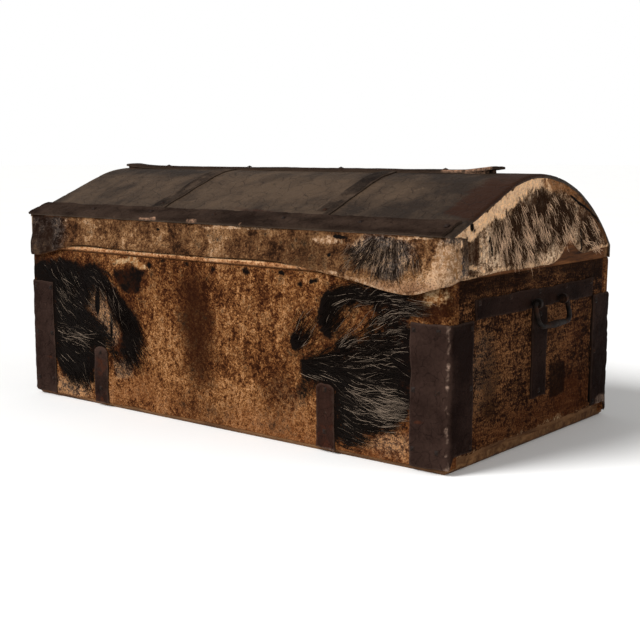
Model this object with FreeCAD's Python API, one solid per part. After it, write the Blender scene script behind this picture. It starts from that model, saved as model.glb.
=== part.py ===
import FreeCAD, Part
import math
import os

from FreeCAD import Placement, Rotation, Vector

# Hide-covered travelling trunk with a planked, domed lid on strap hinges and a bail handle at each end.
# Millimetres. +X runs along the trunk, the front faces -Y, +Z is up.
# The origin is the middle of the underside, so the trunk stands on the plane z = 0.

# Case boards
CASE_LENGTH = 836.0
CASE_DEPTH = 458.0
CASE_HEIGHT = 250.0
WALL = 16.0
BOTTOM_THICKNESS = 14.0
BOTTOM_BOARDS = ("front", "middle", "back")
BOARD_GAP = 0.5
FOOT_BEVEL = 5.0

# Hide and leather on the case
HIDE = 2.0
CORNER_RADIUS = 9.0
HIDE_LAP = 24.0
FRONT_HEM = 5.0
END_HEM = 21.0
LEATHER = 3.0
CORNER_STRAP_WIDTH = 60.0
CORNER_STRAP_DROP = 54.0
FRONT_STRAP_WIDTH = 32.0
FRONT_STRAP_TOP = 98.0
FRONT_STRAP_SHARES = {"left": -0.5885, "right": 0.531}
FRONT_STRAP_CLIP = 4.0
END_BAND_DROP = 27.0
END_BAND_WIDTH = 27.0
END_STRAP_WIDTH = 43.0
END_STRAP_FOOT = 67.0
END_STRAP_OFFSET = 4.5
SEAM_GAP = 1.0

# Lid, heights counted from the case's rim
PARTING_GAP = 0.5
PLANK = 12.0
KNEE_RISE = 57.0
RIDGE_RISE = 131.0
EAVE_RISE = 19.0
RIDGE_OFFSET = -5.0
CROWN_RADIUS = 210.0
SLOPE_PLANKS = 2
BACK_PLANKS = 4

# Lip, flap and straps on the lid
LIP_HEIGHT = 9.0
LIP_PROUD = 5.0
FLAP_CLEARANCE = 0.5
FLAP_FLARE = 19.0
FLAP_LEFT_DROP = 9.0
FLAP_LEFT_FLAT = 28.0
FLAP_LEFT_RUN = 92.0
FLAP_RIGHT_DROP = 18.0
FLAP_RIGHT_RUN = 172.0
FLAP_RIGHT_FLAT = 20.0
FLAP_CORNER_DROP = 5.0
FLAP_CORNER_RUN = 48.0
END_HIDE_HEM = 3.0
NOTCH_RADIUS = 28.0
NOTCH_OFFSET = 98.0
NOTCH_STEP = 14.0
KNEE_BAND_WIDTH = 42.0
KNEE_BAND = 5.0
KNEE_BAND_OVERHANG = 3.5
KNEE_BAND_LEFT_PROUD = 3.0
KNEE_BAND_RIGHT_SHORT = 8.0
LID_STRAP = 2.5
LID_STRAP_WIDTH = 30.0
LID_STRAP_SHARES = {"left": -0.3636, "right": 0.4258}
LID_STRAP_STOP = 60.0
RIDGE_STRIP = 4.0
RIDGE_STRIP_WIDTH = 36.0
RIDGE_STRIP_RIGHT_SHORT = 66.0
RIDGE_CURL_RISE = 6.0
RIDGE_CURL_RUN = 85.0

# Strap hinges
HINGE_PLACES = {"left": -255.0, "right": 255.0}
LEAF = 2.5
LEAF_WIDTH = 40.0
LEAF_TIP_WIDTH = 18.0
CASE_LEAF_LENGTH = 128.0
LID_LEAF_HEIGHT = 86.0
PIN_RADIUS = 2.6
PIN_CLEARANCE = 0.08
PIN_HEAD_RADIUS = 3.6
PIN_HEAD = 1.6
BARREL_WALL = 2.8
KNUCKLE_GAP = 0.4
LEAF_CLEARANCE = 0.5

# Bail handles and their staples
HANDLE_DROP = 46.0
HANDLE_OFFSET = 17.5
BAIL_WIDTH = 94.0
BAIL_DROP = 33.0
BAIL_ROD_RADIUS = 3.6
BAIL_GRIP_RADIUS = 5.4
BAIL_TOP_BEND = 6.0
BAIL_LOW_BEND = 13.0
BAIL_STUB_PROUD = 2.0
BAIL_TILT = 14.0
EYE_SPACING = 76.0
EYE_WIDTH = 6.0
EYE_WALL = 3.4
EYE_STANDOFF = 1.3
EYE_CLEARANCE = 0.1
STAPLE_BAR = 6.0
STAPLE_CLEARANCE = 0.15
CLINCH = 3.0
CLINCH_REACH = 22.0

# Hand-made nails
NAIL_HEAD = 7.0
NAIL_PEAK = 2.2
NAIL_SHANK = 2.4
NAIL_LENGTH = 14.0
BRAD_WIDTH = 3.2
BRAD_LENGTH = 34.0
BRAD_SINK = 0.2
NAIL_CLEARANCE = 0.05
NAIL_EDGE = 9.0
CORNER_NAIL_ROWS = 3
END_BAND_NAILS = 5
KNEE_BAND_NAILS = 7
RIDGE_NAILS = 4
BOTTOM_NAIL_COUNT = 2

# Faces round a bar, pin, eye or barrel, steps in a bend, and how far a cutting solid runs past what it cuts
BAR_SIDES = 8
PIN_SIDES = 16
BEND_STEPS = 3
EYE_SIDES = 12
OVERRUN = 1.0

# Places worked out from the sizes above
HALF_LENGTH = CASE_LENGTH / 2
HALF_DEPTH = CASE_DEPTH / 2
SKIN_X = HALF_LENGTH + HIDE
SKIN_Y = HALF_DEPTH + HIDE
STRAP_X = SKIN_X + LEATHER
STRAP_Y = SKIN_Y + LEATHER
INNER_DEPTH = HALF_DEPTH - WALL
LID_FOOT = CASE_HEIGHT + PARTING_GAP
KNEE_Z = CASE_HEIGHT + KNEE_RISE
RIDGE_Z = CASE_HEIGHT + RIDGE_RISE
EAVE_Z = CASE_HEIGHT + EAVE_RISE
LIP_TOP = LID_FOOT + LIP_HEIGHT
CROWN_Z = RIDGE_Z - CROWN_RADIUS
BACK_RADIUS = ((HALF_DEPTH - RIDGE_OFFSET) ** 2 + (RIDGE_Z - EAVE_Z) ** 2) / (2 * (RIDGE_Z - EAVE_Z))
BACK_Z = RIDGE_Z - BACK_RADIUS
BARREL_RADIUS = PIN_RADIUS + PIN_CLEARANCE + BARREL_WALL
HINGE_Y = SKIN_Y + LEAF_CLEARANCE + BARREL_RADIUS
HINGE_Z = CASE_HEIGHT + PARTING_GAP / 2
EYE_RADIUS = BAIL_ROD_RADIUS + EYE_CLEARANCE + EYE_WALL
PIVOT_X = STRAP_X + EYE_STANDOFF + EYE_RADIUS
CORNER_STRAP_TOP = CASE_HEIGHT - CORNER_STRAP_DROP
FRONT_STRAP_PLACES = {side: share * HALF_LENGTH for side, share in FRONT_STRAP_SHARES.items()}
LID_STRAP_PLACES = {side: share * HALF_LENGTH for side, share in LID_STRAP_SHARES.items()}
CORNER_STRAP_X = SKIN_X - CORNER_STRAP_WIDTH
CORNER_STRAP_Y = SKIN_Y - CORNER_STRAP_WIDTH
END_BAND_HALF = CORNER_STRAP_Y - SEAM_GAP
END_BAND_TOP = CASE_HEIGHT - END_BAND_DROP
END_BAND_FOOT = END_BAND_TOP - END_BAND_WIDTH
HANDLE_HEIGHT = CASE_HEIGHT - HANDLE_DROP
FAR = 4 * (CASE_LENGTH + CASE_HEIGHT)
RIGHT, LEFT = Vector(1, 0, 0), Vector(-1, 0, 0)
FRONT, BACK = Vector(0, -1, 0), Vector(0, 1, 0)
UP, DOWN = Vector(0, 0, 1), Vector(0, 0, -1)


def slope_angle():
    """Angle of the front slope, which runs from the knee and meets the crown's circle as a tangent."""
    across = RIDGE_OFFSET + HALF_DEPTH
    down = KNEE_Z - CROWN_Z
    return math.asin(CROWN_RADIUS / math.hypot(across, down)) - math.atan2(down, across)


SLOPE = slope_angle()


# Plain solids

def block(x0, x1, y0, y1, z0, z1):
    """Box between two corners."""
    return Part.makeBox(x1 - x0, y1 - y0, z1 - z0, Vector(x0, y0, z0))


def rounded_block(half_x, half_y, z0, z1, radius):
    """Box about the Z axis with its upright edges rounded."""
    box = block(-half_x, half_x, -half_y, half_y, z0, z1)
    upright = [e for e in box.Edges if abs(e.tangentAt(e.FirstParameter).z) > 0.5]
    return box.makeFillet(radius, upright)


def extruded(edges, along):
    """Solid swept from a closed chain of edges."""
    return Part.Face(Part.Wire(Part.__sortEdges__(edges))).extrude(along)


def polygon(points, along):
    """Solid swept from a closed chain of corners."""
    return Part.Face(Part.makePolygon(points + points[:1])).extrude(along)


def line(start, end):
    """Straight edge."""
    return Part.LineSegment(start, end).toShape()


def arc(start, middle, end):
    """Round edge through three points."""
    return Part.Arc(start, middle, end).toShape()


def rod(base, along, radius):
    """Round bar from a base point."""
    return Part.makeCylinder(radius, along.Length, base, along)


def mirrored(shape):
    """The same shape at the trunk's other end."""
    return shape.mirror(Vector(0, 0, 0), Vector(1, 0, 0))


def evenly(first, last, count):
    """Evenly spaced places from first to last."""
    return [first + (last - first) * n / (count - 1) for n in range(count)]


# Hammered bars and nails

def ring(sides, across, z):
    """Corners of an even-sided ring about the Z axis, by its width across the flats."""
    radius = across / 2 / math.cos(math.pi / sides)
    turns = [(n + 0.5) * 2 * math.pi / sides for n in range(sides)]
    return [Vector(radius * math.cos(t), radius * math.sin(t), z) for t in turns]


def plane(corners):
    """Flat face with these corners."""
    return Part.Face(Part.makePolygon(corners + corners[:1]))


def closed_by(faces):
    """Solid that the faces close."""
    solid = Part.Solid(Part.Shell(faces))
    if solid.Volume < 0:
        solid.reverse()
    return solid


def taper(sides, across_a, z_a, across_b, z_b):
    """Even-sided bar about the Z axis, which may change its width from one height to another."""
    low, high = ring(sides, across_a, z_a), ring(sides, across_b, z_b)
    walls = [plane([low[n - 1], low[n], high[n], high[n - 1]]) for n in range(sides)]
    return closed_by([plane(low), plane(high)] + walls)


def pin(base, along, radius):
    """Bar forged nearly round, its edges on the radius."""
    across = 2 * radius * math.cos(math.pi / PIN_SIDES)
    return turned(taper(PIN_SIDES, across, 0, across, along.Length), base, along)


def spike(across, z, z_tip):
    """Square bar about the Z axis that runs to a point."""
    base = ring(4, across, z)
    tip = Vector(0, 0, z_tip)
    return closed_by([plane(base)] + [plane([base[n - 1], base[n], tip]) for n in range(4)])


def spike_hole(width, length):
    """Room for a spike driven down from z = 0, with the same clearance all round."""
    grow = 1 + 2 * NAIL_CLEARANCE / width
    return spike(width * (grow + OVERRUN / length), OVERRUN, -length * grow)


def rose_nail():
    """Forged nail with a four-sided head that stands on z = 0, its shank below."""
    return spike(NAIL_HEAD, 0, NAIL_PEAK).fuse(spike(NAIL_SHANK, 0, -NAIL_LENGTH)).removeSplitter()


def rose_nail_hole():
    """Room for a forged nail's shank."""
    return spike_hole(NAIL_SHANK, NAIL_LENGTH)


def brad():
    """Headless cut nail, driven just below z = 0."""
    return spike(BRAD_WIDTH, -BRAD_SINK, -BRAD_LENGTH)


def brad_hole():
    """Room for a cut nail."""
    return spike_hole(BRAD_WIDTH, BRAD_LENGTH)


def turned(shape, point, along):
    """Copy of a shape made about the Z axis, moved to a point and turned to lie along a direction."""
    copy = shape.copy()
    copy.Placement = Placement(point, Rotation(Vector(0, 0, 1), along))
    return copy


def placed(shape, places):
    """Compound of copies, one for each (point, outward direction)."""
    return Part.makeCompound([turned(shape, point, outward) for point, outward in places])


def driven(nodes, hosts, name, places, nail, hole):
    """Adds a group of nails and cuts their holes in the pieces that they go through."""
    nodes[name] = placed(nail(), places)
    holes = placed(hole(), places)
    for host in hosts:
        nodes[host] = nodes[host].cut(holes)


# Lid outline

class LidCurve:
    """The lid's outline across the trunk, moved outwards by `skin` from the planks' outer faces."""

    def __init__(self, skin):
        self.skin = skin
        self.half = HALF_DEPTH + skin
        self.crown_radius = CROWN_RADIUS + skin
        self.back_radius = BACK_RADIUS + skin

    def on_crown(self, angle):
        """Point on the crown, the angle counted from the ridge towards the back."""
        r = self.crown_radius
        return Vector(0, RIDGE_OFFSET + r * math.sin(angle), CROWN_Z + r * math.cos(angle))

    def on_back(self, angle):
        """Point on the back's round, the angle counted from the ridge."""
        r = self.back_radius
        return Vector(0, RIDGE_OFFSET + r * math.sin(angle), BACK_Z + r * math.cos(angle))

    def on_slope(self, y):
        """Point on the front slope at a given depth."""
        end = self.on_crown(-SLOPE)
        return Vector(0, y, end.z + math.tan(SLOPE) * (y - end.y))

    def back_angle(self, y):
        """Angle on the back's round at a given depth."""
        return math.asin((y - RIDGE_OFFSET) / self.back_radius)

    def crown_edge(self, a0, a1):
        """Edge along the crown."""
        return arc(self.on_crown(a0), self.on_crown((a0 + a1) / 2), self.on_crown(a1))

    def back_edge(self, a0, a1):
        """Edge along the back's round."""
        return arc(self.on_back(a0), self.on_back((a0 + a1) / 2), self.on_back(a1))

    def over(self, y_front, y_back):
        """Edges from the slope over the crown to the back, between two depths."""
        return [
            line(self.on_slope(y_front), self.on_crown(-SLOPE)),
            self.crown_edge(-SLOPE, 0),
            self.back_edge(0, self.back_angle(y_back)),
        ]

    def closed(self, half, foot):
        """Edges of the whole outline between two upright walls, down to a flat foot."""
        front, back = Vector(0, -half, foot), Vector(0, half, foot)
        rear = self.on_back(self.back_angle(half))
        walls = [line(rear, back), line(back, front), line(front, self.on_slope(-half))]
        return self.over(-half, half) + walls

    def solid(self, x0, x1):
        """Solid of the whole outline, from one length to another."""
        return extruded(self.closed(self.half, LID_FOOT), Vector(x1 - x0, 0, 0)).translated(Vector(x0, 0, 0))


def lid_shell(inner_skin, outer_skin, x0, x1):
    """Bent sheet that follows the lid's outline between two skins."""
    return LidCurve(outer_skin).solid(x0, x1).cut(LidCurve(inner_skin).solid(x0 - OVERRUN, x1 + OVERRUN))


def ogee(start, end):
    """Two arcs from start to end, level at both ends, in the plane across the depth."""
    middle = (start + end) * 0.5
    half_run, half_rise = middle.x - start.x, middle.z - start.z
    radius = (half_run ** 2 + half_rise ** 2) / (2 * abs(half_rise))
    turn = math.asin(half_run / radius) / 2
    step = Vector(radius * math.sin(turn), 0, math.copysign(radius * (1 - math.cos(turn)), half_rise))
    return [arc(start, start + step, middle), arc(middle, end - step, end)]


# Case

def case_boards(nodes):
    """Four walls, rounded at the trunk's corners, on boards laid side by side."""
    radius = CORNER_RADIUS - HIDE
    walls = rounded_block(HALF_LENGTH, HALF_DEPTH, BOTTOM_THICKNESS, CASE_HEIGHT, radius)
    nodes["front_board"] = walls.common(block(-FAR, FAR, -FAR, -INNER_DEPTH, 0, FAR))
    nodes["back_board"] = walls.common(block(-FAR, FAR, INNER_DEPTH, FAR, 0, FAR))
    right = block(HALF_LENGTH - WALL, HALF_LENGTH, -INNER_DEPTH, INNER_DEPTH, BOTTOM_THICKNESS, CASE_HEIGHT)
    nodes["right_end_board"] = right
    nodes["left_end_board"] = mirrored(right)
    floor = rounded_block(HALF_LENGTH, HALF_DEPTH, 0, BOTTOM_THICKNESS, radius)
    rim = [e for e in floor.Edges if e.BoundBox.ZMax < BOTTOM_THICKNESS / 2]
    floor = floor.makeChamfer(FOOT_BEVEL, rim)
    width = CASE_DEPTH / len(BOTTOM_BOARDS)
    for n, name in enumerate(BOTTOM_BOARDS):
        y0 = -HALF_DEPTH + n * width
        strip = block(-FAR, FAR, y0 + BOARD_GAP / 2, y0 + width - BOARD_GAP / 2, 0, FAR)
        nodes["bottom_board_" + name] = floor.common(strip)


def case_hide(nodes):
    """Hide panels: front and back lap round the corners, and the ends butt against them."""
    inner = rounded_block(HALF_LENGTH, HALF_DEPTH, 0, FAR, CORNER_RADIUS - HIDE)
    wrap = rounded_block(SKIN_X, SKIN_Y, FRONT_HEM, CASE_HEIGHT, CORNER_RADIUS).cut(inner)
    lap = SKIN_Y - HIDE_LAP
    nodes["front_hide"] = wrap.common(block(-FAR, FAR, -FAR, -lap, 0, FAR))
    nodes["back_hide"] = wrap.common(block(-FAR, FAR, lap, FAR, 0, FAR))
    nodes["right_end_hide"] = wrap.common(block(0, FAR, -lap, lap, END_HEM, FAR))
    nodes["left_end_hide"] = mirrored(nodes["right_end_hide"])


def corner_straps(nodes):
    """Leather angle round each upright corner; its leg on the end stops above the bottom boards."""
    outer = rounded_block(STRAP_X, STRAP_Y, FRONT_HEM, CORNER_STRAP_TOP, CORNER_RADIUS + LEATHER)
    ring = outer.cut(rounded_block(SKIN_X, SKIN_Y, 0, FAR, CORNER_RADIUS))
    end_leg = block(-FAR, FAR, -SKIN_Y + CORNER_RADIUS, SKIN_Y - CORNER_RADIUS, 0, END_HEM)
    ring = ring.cut(end_leg)
    for depth, y0, y1 in (("front", -FAR, -CORNER_STRAP_Y), ("back", CORNER_STRAP_Y, FAR)):
        right = ring.common(block(CORNER_STRAP_X, FAR, y0, y1, 0, FAR))
        nodes["corner_strap_" + depth + "_right"] = right
        nodes["corner_strap_" + depth + "_left"] = mirrored(right)


def front_straps(nodes):
    """Stubs of the two straps that once buckled over the lid, nailed to the front."""
    for side, x in FRONT_STRAP_PLACES.items():
        half = FRONT_STRAP_WIDTH / 2
        strap = block(x - half, x + half, -STRAP_Y, -SKIN_Y, FRONT_HEM, FRONT_STRAP_TOP)
        top = [
            e for e in strap.Edges
            if e.BoundBox.ZMin > FRONT_STRAP_TOP - SEAM_GAP and e.BoundBox.YLength > LEATHER / 2
        ]
        nodes["front_strap_" + side] = strap.makeChamfer(FRONT_STRAP_CLIP, top)


def end_bands(nodes):
    """Level band behind each handle and the strap that hangs below it."""
    band = block(SKIN_X, STRAP_X, -END_BAND_HALF, END_BAND_HALF, END_BAND_FOOT, END_BAND_TOP)
    y0 = END_STRAP_OFFSET - END_STRAP_WIDTH / 2
    strap_top = END_BAND_FOOT - SEAM_GAP
    strap = block(SKIN_X, STRAP_X, y0, y0 + END_STRAP_WIDTH, END_STRAP_FOOT, strap_top)
    nodes["right_end_band"], nodes["left_end_band"] = band, mirrored(band)
    nodes["right_end_strap"], nodes["left_end_strap"] = strap, mirrored(strap)


# Handles

def staple(y):
    """Eye on a bar that goes through the end board, its legs spread flat against the inside."""
    inside = HALF_LENGTH - WALL
    half = STAPLE_BAR / 2
    z = HANDLE_HEIGHT
    centre = Vector(PIVOT_X, y - EYE_WIDTH / 2, z)
    eye = turned(taper(EYE_SIDES, 2 * EYE_RADIUS, 0, 2 * EYE_RADIUS, EYE_WIDTH), centre, BACK)
    bar = block(inside - CLINCH, PIVOT_X, y - half, y + half, z - half, z + half)
    legs = block(inside - CLINCH, inside, y - half, y + half, z - CLINCH_REACH, z + CLINCH_REACH)
    bore = rod(centre - BACK * OVERRUN, BACK * (EYE_WIDTH + 2 * OVERRUN), BAIL_ROD_RADIUS + EYE_CLEARANCE)
    return bar.fuse([eye, legs]).cut(bore).removeSplitter()


def staple_hole(y):
    """Square way for a staple's bar through the band, the hide and the board."""
    half = STAPLE_BAR / 2 + STAPLE_CLEARANCE
    z = HANDLE_HEIGHT
    return block(HALF_LENGTH - WALL - OVERRUN, PIVOT_X, y - half, y + half, z - half, z + half)


def bail():
    """Forged bail: round ends in the eyes, two hammered arms, and a grip that swells towards the middle."""
    arm = BAIL_WIDTH / 2
    stub = EYE_SPACING / 2 - EYE_WIDTH / 2 - BAIL_STUB_PROUD
    across = 2 * BAIL_ROD_RADIUS
    start = Vector(0, arm - BAIL_TOP_BEND, 0)

    def bend(y, drop, radius, first_turn):
        turns = [first_turn + n * math.pi / 2 / BEND_STEPS for n in range(BEND_STEPS + 1)]
        return [Vector(0, y + radius * math.cos(t), -drop - radius * math.sin(t)) for t in turns]

    path = bend(arm - BAIL_TOP_BEND, BAIL_TOP_BEND, BAIL_TOP_BEND, -math.pi / 2)
    path += bend(arm - BAIL_LOW_BEND, BAIL_DROP - BAIL_LOW_BEND, BAIL_LOW_BEND, 0)
    corners = ring(BAR_SIDES, across, 0)
    section = turned(Part.makePolygon(corners + corners[:1]), start, BACK)
    mitred = 1
    side = Part.makePolygon(path).makePipeShell([section], True, False, mitred)
    grip = taper(BAR_SIDES, across, 0, 2 * BAIL_GRIP_RADIUS, arm - BAIL_LOW_BEND)
    half = pin(Vector(0, stub, 0), BACK * (start.y - stub), BAIL_ROD_RADIUS)
    half = half.fuse([side, turned(grip, path[-1], FRONT)])
    whole = half.fuse(half.mirror(Vector(0, 0, 0), BACK)).removeSplitter()
    whole.rotate(Vector(0, 0, 0), FRONT, BAIL_TILT)
    whole.translate(Vector(PIVOT_X, HANDLE_OFFSET, HANDLE_HEIGHT))
    return whole


def handles(nodes):
    """A bail on two staples at each end, with the ways for the staples cut."""
    eyes = [HANDLE_OFFSET - EYE_SPACING / 2, HANDLE_OFFSET + EYE_SPACING / 2]
    staples = Part.makeCompound([staple(y) for y in eyes])
    ways = Part.makeCompound([staple_hole(y) for y in eyes])
    grip = bail()
    nodes["right_handle_bail"], nodes["left_handle_bail"] = grip, mirrored(grip)
    nodes["right_handle_staples"], nodes["left_handle_staples"] = staples, mirrored(staples)
    for piece in ("end_board", "end_hide", "end_band"):
        nodes["right_" + piece] = nodes["right_" + piece].cut(ways)
        nodes["left_" + piece] = nodes["left_" + piece].cut(mirrored(ways))


# Lid

def lid_frame(nodes):
    """Front and back rails and two domed end boards, all cut to carry the planks."""
    inner = LidCurve(-PLANK)
    along = Vector(CASE_LENGTH, 0, 0)
    start = Vector(-HALF_LENGTH, 0, 0)
    front = [
        Vector(0, -HALF_DEPTH, LID_FOOT),
        Vector(0, -INNER_DEPTH, LID_FOOT),
        inner.on_slope(-INNER_DEPTH),
        inner.on_slope(-HALF_DEPTH),
    ]
    nodes["lid_front_rail"] = polygon(front, along).translated(start)
    outer = LidCurve(0)
    a0, a1 = inner.back_angle(INNER_DEPTH), outer.back_angle(HALF_DEPTH)
    low_in, low_out = Vector(0, INNER_DEPTH, LID_FOOT), Vector(0, HALF_DEPTH, LID_FOOT)
    back = [
        inner.back_edge(a0, a1),
        line(inner.on_back(a1), outer.on_back(a1)),
        line(outer.on_back(a1), low_out),
        line(low_out, low_in),
        line(low_in, inner.on_back(a0)),
    ]
    nodes["lid_back_rail"] = extruded(back, along).translated(start)
    end = extruded(inner.closed(INNER_DEPTH, LID_FOOT), Vector(WALL, 0, 0))
    end.translate(Vector(HALF_LENGTH - WALL, 0, 0))
    nodes["lid_right_end"], nodes["lid_left_end"] = end, mirrored(end)


def plank_spans():
    """Spans of the planks from front to back: the stretch that each lies on and its two limits there."""
    outer = LidCurve(0)
    slope_end = outer.on_crown(-SLOPE).y
    back_end = outer.back_angle(HALF_DEPTH)
    slopes = evenly(-HALF_DEPTH, slope_end, SLOPE_PLANKS + 1)
    backs = evenly(0, back_end, BACK_PLANKS + 1)
    spans = [("slope", a, b) for a, b in zip(slopes, slopes[1:])]
    spans.append(("crown", -SLOPE, 0))
    return spans + [("back", a, b) for a, b in zip(backs, backs[1:])]


def lid_planks(nodes):
    """Planks along the trunk: flat ones on the slope, the rest planed to the round."""
    outer, inner = LidCurve(0), LidCurve(-PLANK)
    spans = plank_spans()
    gap = BOARD_GAP / 2
    for n, (stretch, start, end) in enumerate(spans):
        if stretch == "slope":
            lean = PLANK * math.sin(SLOPE)
            trim = gap * math.cos(SLOPE)
            front = start if n == 0 else start + trim
            corners = [
                outer.on_slope(front),
                outer.on_slope(end - trim),
                inner.on_slope(end - trim + lean),
                inner.on_slope(front if n == 0 else front + lean),
            ]
            edges = [line(a, b) for a, b in zip(corners, corners[1:] + corners[:1])]
        else:
            reach = CROWN_RADIUS if stretch == "crown" else BACK_RADIUS
            place, run = (
                (LidCurve.on_crown, LidCurve.crown_edge)
                if stretch == "crown"
                else (LidCurve.on_back, LidCurve.back_edge)
            )
            a0, a1 = start + gap / reach, end - gap / reach
            edges = [
                run(outer, a0, a1),
                line(place(outer, a1), place(inner, a1)),
                run(inner, a1, a0),
                line(place(inner, a0), place(outer, a0)),
            ]
        plank = extruded(edges, Vector(CASE_LENGTH, 0, 0))
        nodes["lid_plank_" + str(n + 1)] = plank.translated(Vector(-HALF_LENGTH, 0, 0))


def lid_lip(nodes):
    """Half-round bead along the lower edge of the lid's front."""
    low, high = Vector(0, -HALF_DEPTH, LID_FOOT), Vector(0, -HALF_DEPTH, LIP_TOP)
    nose = Vector(0, -HALF_DEPTH - LIP_PROUD, (LID_FOOT + LIP_TOP) / 2)
    bead = extruded([arc(low, nose, high), line(high, low)], Vector(CASE_LENGTH, 0, 0))
    nodes["lid_lip"] = bead.translated(Vector(-HALF_LENGTH, 0, 0))


def flap_hem():
    """Lower edge of the front hide from left to right: it hangs below the rim at both ends."""
    middle = LIP_TOP + FLAP_CLEARANCE
    left, right = CASE_HEIGHT - FLAP_LEFT_DROP, CASE_HEIGHT - FLAP_RIGHT_DROP
    x1 = -SKIN_X + FLAP_LEFT_FLAT
    x2 = x1 + FLAP_LEFT_RUN
    x5 = SKIN_X - FLAP_CORNER_RUN
    x4 = x5 - FLAP_RIGHT_FLAT
    x3 = x4 - FLAP_RIGHT_RUN
    corner = CASE_HEIGHT - FLAP_CORNER_DROP
    edges = [line(Vector(-SKIN_X, 0, left), Vector(x1, 0, left))]
    edges += ogee(Vector(x1, 0, left), Vector(x2, 0, middle))
    edges.append(line(Vector(x2, 0, middle), Vector(x3, 0, middle)))
    edges += ogee(Vector(x3, 0, middle), Vector(x4, 0, right))
    edges.append(line(Vector(x4, 0, right), Vector(x5, 0, right)))
    return edges + ogee(Vector(x5, 0, right), Vector(SKIN_X, 0, corner))


def lid_front_hide(nodes):
    """Hide on the lid's front, flared over the lip and hanging as a flap at both ends."""
    knee = LidCurve(0).on_slope(-HALF_DEPTH).z
    inner_y = -HALF_DEPTH - LIP_PROUD - FLAP_CLEARANCE
    outer_y = inner_y - HIDE
    lowest = CASE_HEIGHT - max(FLAP_LEFT_DROP, FLAP_RIGHT_DROP) - SEAM_GAP
    flare_top = LIP_TOP + FLAP_FLARE
    section = [
        Vector(0, -HALF_DEPTH, knee),
        Vector(0, -SKIN_Y, knee),
        Vector(0, -SKIN_Y, flare_top),
        Vector(0, outer_y, LIP_TOP),
        Vector(0, outer_y, lowest),
        Vector(0, inner_y, lowest),
        Vector(0, inner_y, LIP_TOP),
        Vector(0, -HALF_DEPTH, flare_top),
    ]
    sheet = polygon(section, Vector(2 * SKIN_X, 0, 0)).translated(Vector(-SKIN_X, 0, 0))
    hem = flap_hem()
    first, last = hem[0].Vertexes[0].Point, Vector(SKIN_X, 0, CASE_HEIGHT - FLAP_CORNER_DROP)
    high_left, high_right = Vector(-SKIN_X, 0, RIDGE_Z), Vector(SKIN_X, 0, RIDGE_Z)
    sides = [line(last, high_right), line(high_right, high_left), line(high_left, first)]
    keep = extruded(hem + sides, Vector(0, -FAR, 0))
    nodes["lid_front_hide"] = sheet.common(keep)


def lid_end_hides(nodes):
    """Hide on the domed ends; on the right its hem is torn away towards the back."""
    outline = extruded(LidCurve(0).closed(HALF_DEPTH, LID_FOOT + END_HIDE_HEM), Vector(HIDE, 0, 0))
    outline.translate(Vector(HALF_LENGTH, 0, 0))
    nodes["lid_left_end_hide"] = mirrored(outline)
    inside = HALF_LENGTH - OVERRUN
    tear = rod(Vector(inside, NOTCH_OFFSET, LID_FOOT), RIGHT * (HIDE + 2 * OVERRUN), NOTCH_RADIUS)
    step = block(inside, FAR, NOTCH_OFFSET, FAR, 0, LID_FOOT + NOTCH_STEP)
    nodes["lid_right_end_hide"] = outline.cut([tear, step])


def lid_cover(nodes):
    """Dark leather over the planks, from the knee over the ridge and down the back."""
    knee = LidCurve(0).on_slope(-HALF_DEPTH).z
    front_wall = block(-FAR, FAR, -FAR, -HALF_DEPTH, 0, knee)
    nodes["lid_top_cover"] = lid_shell(0, HIDE, -SKIN_X, SKIN_X).cut(front_wall)


def knee_band_top():
    """Depth at which the knee band's upper edge lies."""
    return -SKIN_Y - KNEE_BAND_OVERHANG + KNEE_BAND_WIDTH * math.cos(SLOPE)


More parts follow.
